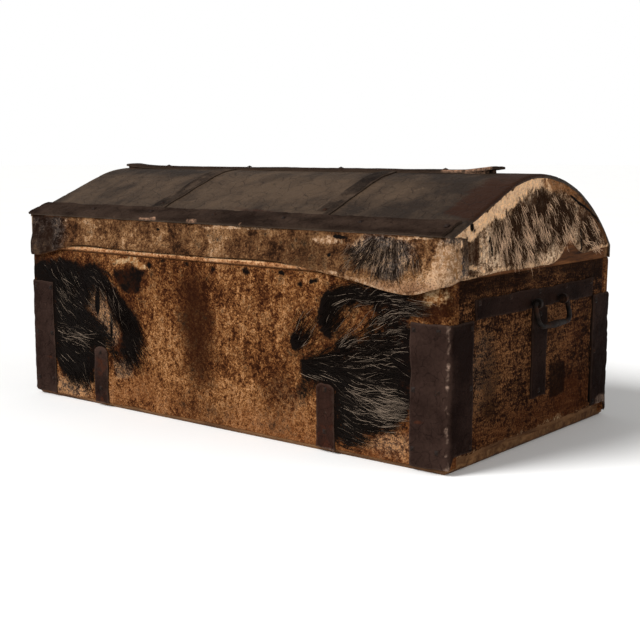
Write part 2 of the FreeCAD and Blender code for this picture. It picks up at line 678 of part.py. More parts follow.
def lid_bands(nodes):
    """Band along the knee, two straps across the lid, and a strip along the ridge with curled ends."""
    low, high = LidCurve(HIDE), LidCurve(HIDE + KNEE_BAND)
    y0 = -SKIN_Y - KNEE_BAND_OVERHANG
    lean = KNEE_BAND * math.sin(SLOPE)
    y1 = knee_band_top()
    corners = [low.on_slope(y0), high.on_slope(y0), high.on_slope(y1 - lean), low.on_slope(y1)]
    x0, x1 = -SKIN_X - KNEE_BAND_LEFT_PROUD, SKIN_X - KNEE_BAND_RIGHT_SHORT
    nodes["knee_band"] = polygon(corners, Vector(x1 - x0, 0, 0)).translated(Vector(x0, 0, 0))

    half = LID_STRAP_WIDTH / 2
    for side, x in LID_STRAP_PLACES.items():
        bent = lid_shell(HIDE, HIDE + LID_STRAP, x - half, x + half)
        reach = block(-FAR, FAR, knee_band_top() + SEAM_GAP, SKIN_Y - LID_STRAP_STOP, 0, FAR)
        nodes["lid_strap_" + side] = bent.common(reach)

    edge = RIDGE_STRIP_WIDTH / 2
    skin = RIDGE_Z + HIDE
    under = LidCurve(HIDE).on_back(LidCurve(HIDE).back_angle(RIDGE_OFFSET + edge)).z - RIDGE_STRIP
    left, right = -SKIN_X, SKIN_X - RIDGE_STRIP_RIGHT_SHORT
    a, b = left + RIDGE_CURL_RUN, right - RIDGE_CURL_RUN

    def curl(x_level, x_tip, z):
        run = (x_tip - x_level) / 2
        return arc(
            Vector(x_level, 0, z), Vector(x_level + run, 0, z + RIDGE_CURL_RISE / 4),
            Vector(x_tip, 0, z + RIDGE_CURL_RISE),
        )

    top = skin + RIDGE_STRIP
    tips = RIDGE_CURL_RISE
    outline = [
        line(Vector(a, 0, skin), Vector(a, 0, under)),
        line(Vector(a, 0, under), Vector(b, 0, under)),
        line(Vector(b, 0, under), Vector(b, 0, skin)),
        curl(b, right, skin),
        line(Vector(right, 0, skin + tips), Vector(right, 0, top + tips)),
        curl(b, right, top),
        line(Vector(b, 0, top), Vector(a, 0, top)),
        curl(a, left, top),
        line(Vector(left, 0, top + tips), Vector(left, 0, skin + tips)),
        curl(a, left, skin),
    ]
    strip = extruded(outline, Vector(0, RIDGE_STRIP_WIDTH, 0)).translated(Vector(0, RIDGE_OFFSET - edge, 0))
    seats = [LidCurve(HIDE).solid(-FAR, FAR)]
    for side in LID_STRAP_PLACES:
        seats.append(nodes["lid_strap_" + side])
    nodes["ridge_strip"] = strip.cut(seats)


# Hinges

def hinge_point(x):
    """Point on the hinges' common axis."""
    return Vector(x, HINGE_Y, HINGE_Z)


def barrel(x0, x1, radius):
    """Many-sided bar along the hinge's axis."""
    return turned(taper(EYE_SIDES, 2 * radius, 0, 2 * radius, x1 - x0), hinge_point(x0), RIGHT)


def knuckle(x0, x1):
    """Rolled barrel between two places along the hinge's axis, with its bore still closed."""
    return barrel(x0, x1, BARREL_RADIUS)


def knuckle_room(x0, x1):
    """Room that a leaf leaves for the other leaf's knuckle."""
    return barrel(x0, x1, BARREL_RADIUS + LEAF_CLEARANCE)


def leaf_outline(x, root_z, tip_z):
    """Tapered plan of a leaf, seen from behind, swept through the trunk's back."""
    w, t = LEAF_WIDTH / 2, LEAF_TIP_WIDTH / 2
    turn = math.copysign(t, tip_z - root_z)
    edges = [
        line(Vector(x - w, 0, root_z), Vector(x + w, 0, root_z)),
        line(Vector(x + w, 0, root_z), Vector(x + t, 0, tip_z - turn)),
        arc(Vector(x + t, 0, tip_z - turn), Vector(x, 0, tip_z), Vector(x - t, 0, tip_z - turn)),
        line(Vector(x - t, 0, tip_z - turn), Vector(x - w, 0, root_z)),
    ]
    return extruded(edges, Vector(0, FAR, 0))


def hinges(nodes):
    """Strap hinge: two knuckles on the case's leaf, one on the lid's leaf, and a headed pin."""
    bore_radius = PIN_RADIUS + PIN_CLEARANCE
    third = LEAF_WIDTH / 3
    for side, x in HINGE_PLACES.items():
        left, right = x - LEAF_WIDTH / 2, x + LEAF_WIDTH / 2
        inner_left, inner_right = left + third, right - third
        gap = KNUCKLE_GAP / 2
        bore = rod(hinge_point(left - OVERRUN), RIGHT * (LEAF_WIDTH + 2 * OVERRUN), bore_radius)
        plate = block(left, right, SKIN_Y, SKIN_Y + LEAF, 0, HINGE_Z)
        plate = plate.common(leaf_outline(x, HINGE_Z, HINGE_Z - CASE_LEAF_LENGTH))
        plate = plate.cut(knuckle_room(inner_left, inner_right))
        ears = [knuckle(left, inner_left - gap), knuckle(inner_right + gap, right)]
        plate = plate.cut(block(-FAR, FAR, 0, FAR, CASE_HEIGHT, FAR))
        nodes[side + "_hinge_case_leaf"] = plate.fuse(ears).cut(bore).removeSplitter()

        bent = lid_shell(HIDE, HIDE + LEAF, left, right)
        bent = bent.common(leaf_outline(x, LID_FOOT, LID_FOOT + LID_LEAF_HEIGHT))
        sides = [knuckle_room(left - OVERRUN, inner_left), knuckle_room(inner_right, right + OVERRUN)]
        bent = bent.cut(sides)
        middle = knuckle(inner_left + gap, inner_right - gap)
        nodes[side + "_hinge_lid_leaf"] = bent.fuse(middle).cut(bore).removeSplitter()

        head = taper(BAR_SIDES, 2 * PIN_HEAD_RADIUS, 0, 2 * PIN_HEAD_RADIUS, PIN_HEAD)
        heads = [turned(head, hinge_point(left), LEFT), turned(head, hinge_point(right), RIGHT)]
        shank = pin(hinge_point(left), RIGHT * LEAF_WIDTH, PIN_RADIUS)
        nodes[side + "_hinge_pin"] = shank.fuse(heads).removeSplitter()


# Fasteners

def both_ends(places):
    """Places on the right end and the same ones on the left end."""
    return places + [(Vector(-p.x, p.y, p.z), Vector(-n.x, n.y, n.z)) for p, n in places]


def lid_place(x, curve, angle):
    """Place on the lid's back round, facing straight out."""
    point = curve.on_back(angle)
    return Vector(x, point.y, point.z), Vector(0, math.sin(angle), math.cos(angle))


def slope_place(x, curve, y):
    """Place on the lid's front slope, facing straight out."""
    point = curve.on_slope(y)
    return Vector(x, point.y, point.z), Vector(0, -math.sin(SLOPE), math.cos(SLOPE))


def corner_nail_rows():
    """Heights of the nails in the corner straps."""
    return evenly(END_HEM + NAIL_EDGE, CORNER_STRAP_TOP - NAIL_EDGE, CORNER_NAIL_ROWS)


def strap_nails(nodes):
    """Forged nails through the leather on the case."""
    rows = corner_nail_rows()
    columns = [CORNER_STRAP_X + NAIL_EDGE, SKIN_X - CORNER_RADIUS - NAIL_EDGE / 2]
    corner = []
    for z in rows:
        for x in columns:
            corner.append((Vector(x, -STRAP_Y, z), FRONT))
            corner.append((Vector(x, STRAP_Y, z), BACK))
        for y in (-CORNER_STRAP_Y - NAIL_EDGE, CORNER_STRAP_Y + NAIL_EDGE):
            corner.append((Vector(STRAP_X, y, z), RIGHT))
    places = both_ends(corner)
    for x in FRONT_STRAP_PLACES.values():
        for z in (END_HEM + NAIL_EDGE, FRONT_STRAP_TOP - NAIL_EDGE):
            places.append((Vector(x, -STRAP_Y, z), FRONT))
    straps = [n for n in nodes if n.startswith(("corner_strap_", "front_strap_"))]
    boards = ["front_board", "back_board", "left_end_board", "right_end_board"]
    hides = ["front_hide", "back_hide", "left_end_hide", "right_end_hide"]
    driven(nodes, straps + hides + boards, "case_strap_nails", places, rose_nail, rose_nail_hole)

    ends = []
    band_z = END_BAND_FOOT + END_BAND_WIDTH / 2
    for y in evenly(-END_BAND_HALF + NAIL_EDGE, END_BAND_HALF - NAIL_EDGE, END_BAND_NAILS):
        ends.append((Vector(STRAP_X, y, band_z + NAIL_EDGE), RIGHT))
    for z in (END_STRAP_FOOT + NAIL_EDGE, END_BAND_FOOT - SEAM_GAP - NAIL_EDGE):
        ends.append((Vector(STRAP_X, END_STRAP_OFFSET, z), RIGHT))
    hosts = [s + p for s in ("left_", "right_") for p in ("end_band", "end_strap", "end_hide", "end_board")]
    driven(nodes, hosts, "end_band_nails", both_ends(ends), rose_nail, rose_nail_hole)


def lid_strap_nails(nodes):
    """Forged nails through the bands on the lid."""
    planks = [n for n in nodes if n.startswith("lid_plank_")]
    knee = LidCurve(HIDE + KNEE_BAND)
    y = (knee_band_top() - SKIN_Y) / 2
    ends = (-SKIN_X + NAIL_EDGE, SKIN_X - KNEE_BAND_RIGHT_SHORT - NAIL_EDGE)
    places = [slope_place(x, knee, y) for x in evenly(ends[0], ends[1], KNEE_BAND_NAILS)]
    driven(
        nodes, planks + ["knee_band", "lid_top_cover", "lid_front_rail"], "knee_band_nails", places,
        rose_nail, rose_nail_hole,
    )
    strap = LidCurve(HIDE + LID_STRAP)
    straps = []
    for x in LID_STRAP_PLACES.values():
        straps.append(slope_place(x, strap, knee_band_top() + 2 * NAIL_EDGE))
        straps.append(lid_place(x, strap, strap.back_angle(SKIN_Y - LID_STRAP_STOP - NAIL_EDGE)))
    first = -SKIN_X + RIDGE_CURL_RUN + NAIL_EDGE
    last = SKIN_X - RIDGE_STRIP_RIGHT_SHORT - RIDGE_CURL_RUN - NAIL_EDGE
    for x in evenly(first, last, RIDGE_NAILS):
        straps.append((Vector(x, RIDGE_OFFSET + NAIL_EDGE, RIDGE_Z + HIDE + RIDGE_STRIP), UP))
    hosts = planks + ["lid_top_cover", "ridge_strip", "lid_strap_left", "lid_strap_right"]
    driven(nodes, hosts, "lid_strap_nails", straps, rose_nail, rose_nail_hole)


def hinge_nails(nodes):
    """Forged nails through the hinges' leaves."""
    case, lid = [], []
    outer = LidCurve(HIDE + LEAF)
    root = HINGE_Z - BARREL_RADIUS - NAIL_EDGE
    tip = HINGE_Z - CASE_LEAF_LENGTH + NAIL_EDGE
    for x in HINGE_PLACES.values():
        case += [(Vector(x, SKIN_Y + LEAF, z), BACK) for z in evenly(root, tip, 3)]
        for rise in (LID_LEAF_HEIGHT / 2, LID_LEAF_HEIGHT - NAIL_EDGE):
            angle = math.acos((LID_FOOT + rise - BACK_Z) / outer.back_radius)
            lid.append(lid_place(x, outer, angle))
    leaves = ["left_hinge_case_leaf", "right_hinge_case_leaf"]
    driven(nodes, leaves + ["back_hide", "back_board"], "hinge_case_nails", case, rose_nail, rose_nail_hole)
    leaves = ["left_hinge_lid_leaf", "right_hinge_lid_leaf"]
    planks = [n for n in nodes if n.startswith("lid_plank_")]
    driven(nodes, leaves + planks + ["lid_top_cover"], "hinge_lid_nails", lid, rose_nail, rose_nail_hole)


def board_nails(nodes):
    """Cut nails that hold the case's walls, its bottom and the lid's planks, their heads under the hide."""
    corner = []
    x = HALF_LENGTH - CORNER_RADIUS - BRAD_WIDTH
    rows = corner_nail_rows()
    for low, high in zip(rows, rows[1:] + [CASE_HEIGHT]):
        z = (low + high) / 2
        corner += [(Vector(x, -HALF_DEPTH, z), FRONT), (Vector(x, HALF_DEPTH, z), BACK)]
    hosts = ["front_board", "back_board", "left_end_board", "right_end_board"]
    driven(nodes, hosts, "case_corner_nails", both_ends(corner), brad, brad_hole)

    below = []
    width = CASE_DEPTH / len(BOTTOM_BOARDS)
    for n in range(len(BOTTOM_BOARDS)):
        middle = -HALF_DEPTH + (n + 0.5) * width
        for y in evenly(middle - width / 4, middle + width / 4, BOTTOM_NAIL_COUNT):
            below.append((Vector(x, y, 0), DOWN))
    hosts = ["bottom_board_" + n for n in BOTTOM_BOARDS] + ["left_end_board", "right_end_board"]
    driven(nodes, hosts, "bottom_nails", both_ends(below), brad, brad_hole)

    outer = LidCurve(0)
    planked = []
    for stretch, start, end in plank_spans():
        middle = (start + end) / 2
        if stretch == "slope":
            planked.append(slope_place(x, outer, middle))
        elif stretch == "crown":
            point = outer.on_crown(middle)
            planked.append((Vector(x, point.y, point.z), Vector(0, math.sin(middle), math.cos(middle))))
        else:
            planked.append(lid_place(x, outer, middle))
    hosts = [n for n in nodes if n.startswith("lid_plank_")]
    hosts += ["lid_left_end", "lid_right_end", "lid_back_rail"]
    driven(nodes, hosts, "lid_plank_nails", both_ends(planked), brad, brad_hole)


def build():
    """Every piece of the trunk, by name."""
    nodes = {}
    case_boards(nodes)
    case_hide(nodes)
    corner_straps(nodes)
    front_straps(nodes)
    end_bands(nodes)
    handles(nodes)
    lid_frame(nodes)
    lid_planks(nodes)
    lid_lip(nodes)
    lid_front_hide(nodes)
    lid_end_hides(nodes)
    lid_cover(nodes)
    lid_bands(nodes)
    hinges(nodes)
    strap_nails(nodes)
    lid_strap_nails(nodes)
    hinge_nails(nodes)
    board_nails(nodes)
    return nodes


os.makedirs("parts", exist_ok=True)
for name, shape in build().items():
    shape.exportStep(os.path.join("parts", name + ".step"))
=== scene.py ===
"""Domed travelling trunk: worn hides with patches of hair, leather straps, forged iron and the studio."""

import logging
import math
from dataclasses import dataclass
from enum import Enum
from typing import Callable, ClassVar

import bpy
import numpy as np
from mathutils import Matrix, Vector


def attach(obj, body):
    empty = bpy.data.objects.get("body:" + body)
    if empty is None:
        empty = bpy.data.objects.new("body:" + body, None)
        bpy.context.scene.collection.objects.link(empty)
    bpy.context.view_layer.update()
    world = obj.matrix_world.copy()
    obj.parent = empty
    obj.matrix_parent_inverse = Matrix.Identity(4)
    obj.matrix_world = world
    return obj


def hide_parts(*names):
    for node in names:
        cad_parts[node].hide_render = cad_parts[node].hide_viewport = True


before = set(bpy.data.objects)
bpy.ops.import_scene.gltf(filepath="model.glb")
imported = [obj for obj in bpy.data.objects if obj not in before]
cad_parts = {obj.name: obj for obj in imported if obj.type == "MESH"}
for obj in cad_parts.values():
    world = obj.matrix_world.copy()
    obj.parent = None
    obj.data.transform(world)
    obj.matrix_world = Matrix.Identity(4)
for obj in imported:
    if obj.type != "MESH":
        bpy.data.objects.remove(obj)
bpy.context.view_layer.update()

log = logging.getLogger("trunk")
Array = np.ndarray
Colour = tuple[float, float, float]
Marks = dict[str, Array]
Field = Callable[[Array, Array], Array]
Places = tuple[tuple[float, float], ...]
MM = 0.001
SHARP_EDGE = math.radians(55)
MIDDLE = np.array([0.0, 0.0, 190.0])


class Body(Enum):
    """Bodies of the frame that a piece can ride on."""

    CASE = "case"
    LID = "lid"
    LEFT_BAIL = "left_handle"
    RIGHT_BAIL = "right_handle"


class Stuff(Enum):
    """Material slots of the record."""

    WOOD = "wood"
    HIDE = "hide"
    LEATHER = "dark_leather"
    IRON = "forged_iron"


class End(Enum):
    """The trunk's two ends, as the sign of x."""

    LEFT = -1
    RIGHT = 1

    @property
    def label(self) -> str:
        """The end's word in the names of pieces."""
        return self.name.lower()


# Fields over a surface, all in millimetres


def ease(low: float, high: float, x: Array) -> Array:
    """Smooth step: 0 at low, 1 at high, with level ends (3t^2 - 2t^3)."""
    t = np.clip((x - low) / (high - low), 0.0, 1.0)
    return t * t * (3.0 - 2.0 * t)


def lattice(i: Array, j: Array, seed: int) -> Array:
    """Fixed random value from 0 to 1 at whole-number places, from multiplied and shifted bits."""
    h = (i * 374761393 + j * 668265263 + seed * 2246822519) & 0xFFFFFFFF
    h = ((h ^ (h >> 13)) * 1274126177) & 0xFFFFFFFF
    return ((h ^ (h >> 16)) & 0xFFFF) / 65535.0


def drift(u: Array, v: Array, size: float, seed: int, layers: int = 4) -> Array:
    """Cloudy field: layers of smoothed lattice values, each half the size and weight of the last.

    Args:
        u, v: Places on the surface.
        size: Width of the largest clouds.
        seed: Which of the fields.
        layers: How many sizes are added.

    Returns:
        Values from -1 to 1 in the shape of u.
    """
    u, v = np.broadcast_arrays(np.asarray(u, float), np.asarray(v, float))
    total, weight, whole = np.zeros(u.shape), 1.0, 0.0
    for n in range(layers):
        a, b = u / size * 2.0**n + 17.3 * n, v / size * 2.0**n + 5.7 * n
        i, j = np.floor(a), np.floor(b)
        s, t = a - i, b - j
        s, t = s * s * (3 - 2 * s), t * t * (3 - 2 * t)
        i, j = i.astype(np.int64), j.astype(np.int64)
        low = lattice(i, j, seed + n) * (1 - s) + lattice(i + 1, j, seed + n) * s
        high = lattice(i, j + 1, seed + n) * (1 - s) + lattice(i + 1, j + 1, seed + n) * s
        total += weight * (low * (1 - t) + high * t)
        whole += weight
        weight *= 0.5
    return 2.0 * total / whole - 1.0


def wander(u: Array, size: float, seed: int, layers: int = 4, row: float = 0.0) -> Array:
    """Cloudy field along one line: a single row of the field over a surface."""
    return drift(u, np.full_like(u, row), size, seed, layers)


def creases(u: Array, v: Array, size: float, seed: int) -> Array:
    """Sharp ridges along the zero lines of a cloudy field: 1 on the line, falling to 0 beside it."""
    return np.clip(1.0 - np.abs(drift(u, v, size, seed, 3)) * 5.0, 0.0, 1.0) ** 2


def spot(u: Array, v: Array, at: tuple, reach: tuple, soft: float = 0.35, turn: float = 0.0) -> Array:
    """Soft ellipse: 1 inside, 0 outside, by the distance in units of its reach.

    Args:
        u, v: Places on the surface.
        at: Centre.
        reach: Half widths.
        soft: Width of the soft border as a share of the reach.
        turn: Degrees that the ellipse is turned anticlockwise.

    Returns:
        Mask in the shape of u.
    """
    c, s = math.cos(math.radians(turn)), math.sin(math.radians(turn))
    du, dv = u - at[0], v - at[1]
    r = np.hypot((du * c + dv * s) / reach[0], (dv * c - du * s) / reach[1])
    return 1.0 - ease(1.0 - soft, 1.0 + soft, r)


def summed(u: Array, v: Array, *rows: tuple) -> Array:
    """Sum of soft ellipses: each row is a weight and then what spot takes."""
    return sum(weight * spot(u, v, *row) for weight, *row in rows)


def most(u: Array, v: Array, *rows: tuple) -> Array:
    """Greatest of soft ellipses: each row is a weight and then what spot takes."""
    return np.maximum.reduce([weight * spot(u, v, *row) for weight, *row in rows])


def greatest(*fields: Array) -> Array:
    """Greatest of several fields at each place."""
    return np.maximum.reduce(fields)


def shaken(u: Array, v: Array, reach: float, seed: int) -> tuple[Array, Array]:
    """Places pushed about by wide and narrow clouds, so that a soft ellipse there has a ragged outline."""
    def push(wide: int, narrow: int) -> Array:
        """How far places move along one axis."""
        return reach * (drift(u, v, 34, wide, 5) + 0.35 * drift(u, v, 9, narrow, 3))

    return u + push(seed, seed + 7), v + push(seed + 13, seed + 19)


def stroke(u: Array, v: Array, start: tuple, end: tuple, half: float) -> Array:
    """Soft line between two points: 1 on it and 0 beyond its half width."""
    a, b = np.array(start, float), np.array(end, float)
    d = b - a
    t = np.clip(((u - a[0]) * d[0] + (v - a[1]) * d[1]) / (d @ d), 0, 1)
    return 1.0 - ease(0.4 * half, half, np.hypot(u - a[0] - t * d[0], v - a[1] - t * d[1]))


def blot(u: Array, v: Array, outline: Places, soft: float) -> Array:
    """Share inside a closed outline: 1 within, 0 outside, by distance from its sides over a soft border.

    Args:
        u, v: Places on the surface.
        outline: Corners in order.
        soft: Half width of the border.

    Returns:
        Mask in the shape of u.
    """
    inside = np.zeros(np.shape(u), bool)
    near = np.full(np.shape(u), np.inf)
    for (a, b), (c, d) in zip(outline, outline[1:] + outline[:1]):
        t = np.clip(((u - a) * (c - a) + (v - b) * (d - b)) / ((c - a) ** 2 + (d - b) ** 2), 0, 1)
        near = np.minimum(near, np.hypot(u - a - t * (c - a), v - b - t * (d - b)))
        if b != d:
            inside ^= ((b > v) != (d > v)) & (u < a + (v - b) * (c - a) / (d - b))
    return ease(-soft, soft, np.where(inside, near, -near))


def through(x: Array, points: Places) -> Array:
    """Smooth line through points: cubic pieces whose slopes at the points are the mean slopes there."""
    px, pz = np.array(points, float).T
    slope = np.gradient(pz, px)
    x = np.clip(x, px[0], px[-1])
    k = np.clip(np.searchsorted(px, x) - 1, 0, len(px) - 2)
    h = px[k + 1] - px[k]
    t = (x - px[k]) / h
    left = (1 + 2 * t) * (1 - t) ** 2 * pz[k] + t * (1 - t) ** 2 * h * slope[k]
    return left + t * t * (3 - 2 * t) * pz[k + 1] + t * t * (t - 1) * h * slope[k + 1]


def grid(first: Array, second: Array) -> tuple[Array, Array]:
    """Rows of the first and columns of the second parameter."""
    return np.meshgrid(np.asarray(first, float), np.asarray(second, float), indexing="ij")


def steps(start: float, end: float, size: float) -> Array:
    """Even steps of about one size, both ends included."""
    return np.linspace(start, end, max(2, int(round(abs(end - start) / size)) + 1))


def walked(*axes: Array) -> Array:
    """Distance along a line of points from its first one."""
    return np.concatenate([[0.0], np.cumsum(np.hypot(*(np.diff(a) for a in axes)))])


def unit(vectors: Array) -> Array:
    """Vectors along the last axis, each brought to length one."""
    return vectors / np.maximum(np.linalg.norm(vectors, axis=-1, keepdims=True), 1e-9)


def ragged(length: float, width: float, step: float, wobble: float, seed: int) -> tuple[Array, Array]:
    """Strip whose four edges waver: the outer parts of an even grid are shifted by clouds along the edges.

    Args:
        length, width: Size of the strip.
        step: Spacing of the grid.
        wobble: How far the edges waver.
        seed: Which of the waverings.

    Returns:
        Places along the strip from 0, and across it from its middle line.
    """
    a, c = grid(steps(0, length, step), steps(-width / 2, width / 2, min(step, width / 8)))
    near_side = np.abs(c / (width / 2)) ** 3
    near_end = np.clip(np.abs(2 * a / length - 1) * length / 2 - length / 2 + 14, 0, 14) / 14
    shift_c = wobble * drift(a, 40 * np.sign(c), 26, seed, 4) * near_side
    shift_a = wobble * drift(c * 1.3, 60 * np.sign(a - length / 2), 15, seed + 9, 3) * near_end**2
    return a + shift_a, c + shift_c


# Meshes


def quads(at: Array) -> Array:
    """Four-cornered faces between the neighbours of a grid of point numbers."""
    return np.stack([at[:-1, :-1], at[1:, :-1], at[1:, 1:], at[:-1, 1:]], -1).reshape(-1, 4)


def mesh_piece(name: str, points: Array, faces: list, marks: Marks) -> bpy.types.Object:
    """Object at the origin from points in millimetres, with its marks as point attributes.

    Args:
        name: The piece's name.
        points: One row for each point.
        faces: Point numbers of each face.
        marks: Values that the finish reads, one for each point.

    Returns:
        The object, smooth but for its sharp edges.
    """
    mesh = bpy.data.meshes.new(name)
    mesh.from_pydata((points * MM).tolist(), [], faces)
    for mark, values in marks.items():
        data = mesh.attributes.new(mark, "FLOAT", "POINT").data
        data.foreach_set("value", np.ascontiguousarray(values, np.float32).ravel())
    mesh.polygons.foreach_set("use_smooth", np.ones(len(mesh.polygons), bool))
    mesh.set_sharp_from_angle(angle=SHARP_EDGE)
    piece = bpy.data.objects.new(name, mesh)
    bpy.context.scene.collection.objects.link(piece)
    return piece


def outward(surface: Array) -> Array:
    """Unit normals of a grid of points, turned away from the trunk's middle."""
    n = unit(np.cross(np.gradient(surface, axis=0), np.gradient(surface, axis=1)))
    return n * np.sign((n * (surface - MIDDLE)).sum(-1).mean())


def rim_distance(surface: Array) -> Array:
    """Distance of each grid point from the nearest edge, measured along its row and its column."""
    def to_edge(axis: int) -> Array:
        """Distance from the nearer end of each row or column."""
        leg = np.linalg.norm(np.diff(surface, axis=axis), axis=-1)
        pad = [(0, 0), (0, 0)]
        pad[axis] = (1, 0)
        run = np.cumsum(np.pad(leg, pad), axis=axis)
        return np.minimum(run, np.take(run, [-1], axis=axis) - run)

    return np.minimum(to_edge(0), to_edge(1))


def sheet(
    name: str, surface: Array, rise: Array | float, thick: float, marks: Marks, sag: float = 0.8
) -> bpy.types.Object:
    """Closed thin piece: a surface raised along its normals, a flat back below it, and a wall round the rim.

    The outer point is surface + normal * (rise, less a sag that rounds the last 3 mm to the rim), and the
    back point is surface - normal * thick.

    Args:
        name: The piece's name.
        surface: Grid of points on its outer face.
        rise: How far each point stands out.
        thick: Thickness behind the surface.
        marks: Values on the grid that the finish reads; the distance from the rim is added as "rim",
            and 1 on the back as "inside". A mark that is left out counts as 0.
        sag: How far the rim is rounded down.

    Returns:
        The object.
    """
    shape = surface.shape[:2]
    n = outward(surface)
    rim = rim_distance(surface)
    lift = rise * ease(0.0, 5.0, rim) - sag * (1.0 - ease(0.0, 3.0, rim))
    outer = surface + n * np.broadcast_to(lift, shape)[..., None]
    inner = surface - n * thick
    back = rim.size
    at = np.arange(back).reshape(shape)
    ring = np.concatenate([at[0, :], at[1:, -1], at[-1, -2::-1], at[-2:0:-1, 0]])
    after = np.roll(ring, -1)
    front = quads(at)
    wall = np.stack([ring, after, after + back, ring + back], -1)
    faces = np.concatenate([front, front[:, ::-1] + back, wall])
    if np.cross(outer[1, 0] - outer[0, 0], outer[0, 1] - outer[0, 0]) @ n[0, 0] < 0:
        faces = faces[:, ::-1]
    points = np.concatenate([outer.reshape(-1, 3), inner.reshape(-1, 3)])
    doubled = {k: np.tile(np.broadcast_to(m, shape).ravel(), 2) for k, m in {**marks, "rim": rim}.items()}
    doubled["inside"] = np.repeat([0.0, 1.0], back)
    return mesh_piece(name, points, faces.tolist(), doubled)


def tubes(name: str, rings: Array, marks: Marks) -> bpy.types.Object:
    """Closed tubes, many at once: walls between neighbouring rings and a cap at both ends of each.

    Args:
        name: The piece's name.
        rings: Points by tube, ring, side and axis.
        marks: Values by tube and ring.

    Returns:
        The object.
    """
    count, length, sides = rings.shape[:3]
    at = np.arange(count * length * sides).reshape(count, length, sides)
    side = np.roll(at, -1, axis=2)
    wall = np.stack([at[:, :-1], side[:, :-1], side[:, 1:], at[:, 1:]], -1).reshape(-1, 4)
    faces = wall.tolist() + at[:, 0, ::-1].tolist() + at[:, -1].tolist()
    spread = {k: np.repeat(np.broadcast_to(m, (count, length)).ravel(), sides) for k, m in marks.items()}
    return mesh_piece(name, rings.reshape(-1, 3), faces, spread)


def settle(
    piece: bpy.types.Object, body: Body, stuff: Stuff, finish: bpy.types.Material, *nodes: str
) -> None:
    """Gives a piece its finish, sets it on its body and lets it stand for CAD nodes."""
    piece.data.materials.append(finish)
    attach(piece, body.value)
    if nodes:
        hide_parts(*nodes)
    log.info("%s: %d points on %s", piece.name, len(piece.data.vertices), body.value)


def coat(finish: bpy.types.Material, *nodes: str) -> None:
    """Gives CAD nodes a finish, their shapes as they are."""
    for name in nodes:
        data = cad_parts[name].data
        if data.materials:
            data.materials[0] = finish
        else:
            data.materials.append(finish)


# Nodes of the finishes


@dataclass(frozen=True)
class Value:
    """A socket that can be reckoned with: each sign adds the node that works it out."""

    graph: "Graph"
    socket: bpy.types.NodeSocket

    def __add__(self, other: object) -> "Value":
        """Both together."""
        return self.graph.math("ADD", self, other)

    def __sub__(self, other: object) -> "Value":
        """This less the other."""
        return self.graph.math("SUBTRACT", self, other)

    def __rsub__(self, other: object) -> "Value":
        """The other less this."""
        return self.graph.math("SUBTRACT", other, self)

    def __mul__(self, other: object) -> "Value":
        """One times the other."""
        return self.graph.math("MULTIPLY", self, other)

    def most(self, other: object) -> "Value":
        """The greater of the two."""
        return self.graph.math("MAXIMUM", self, other)


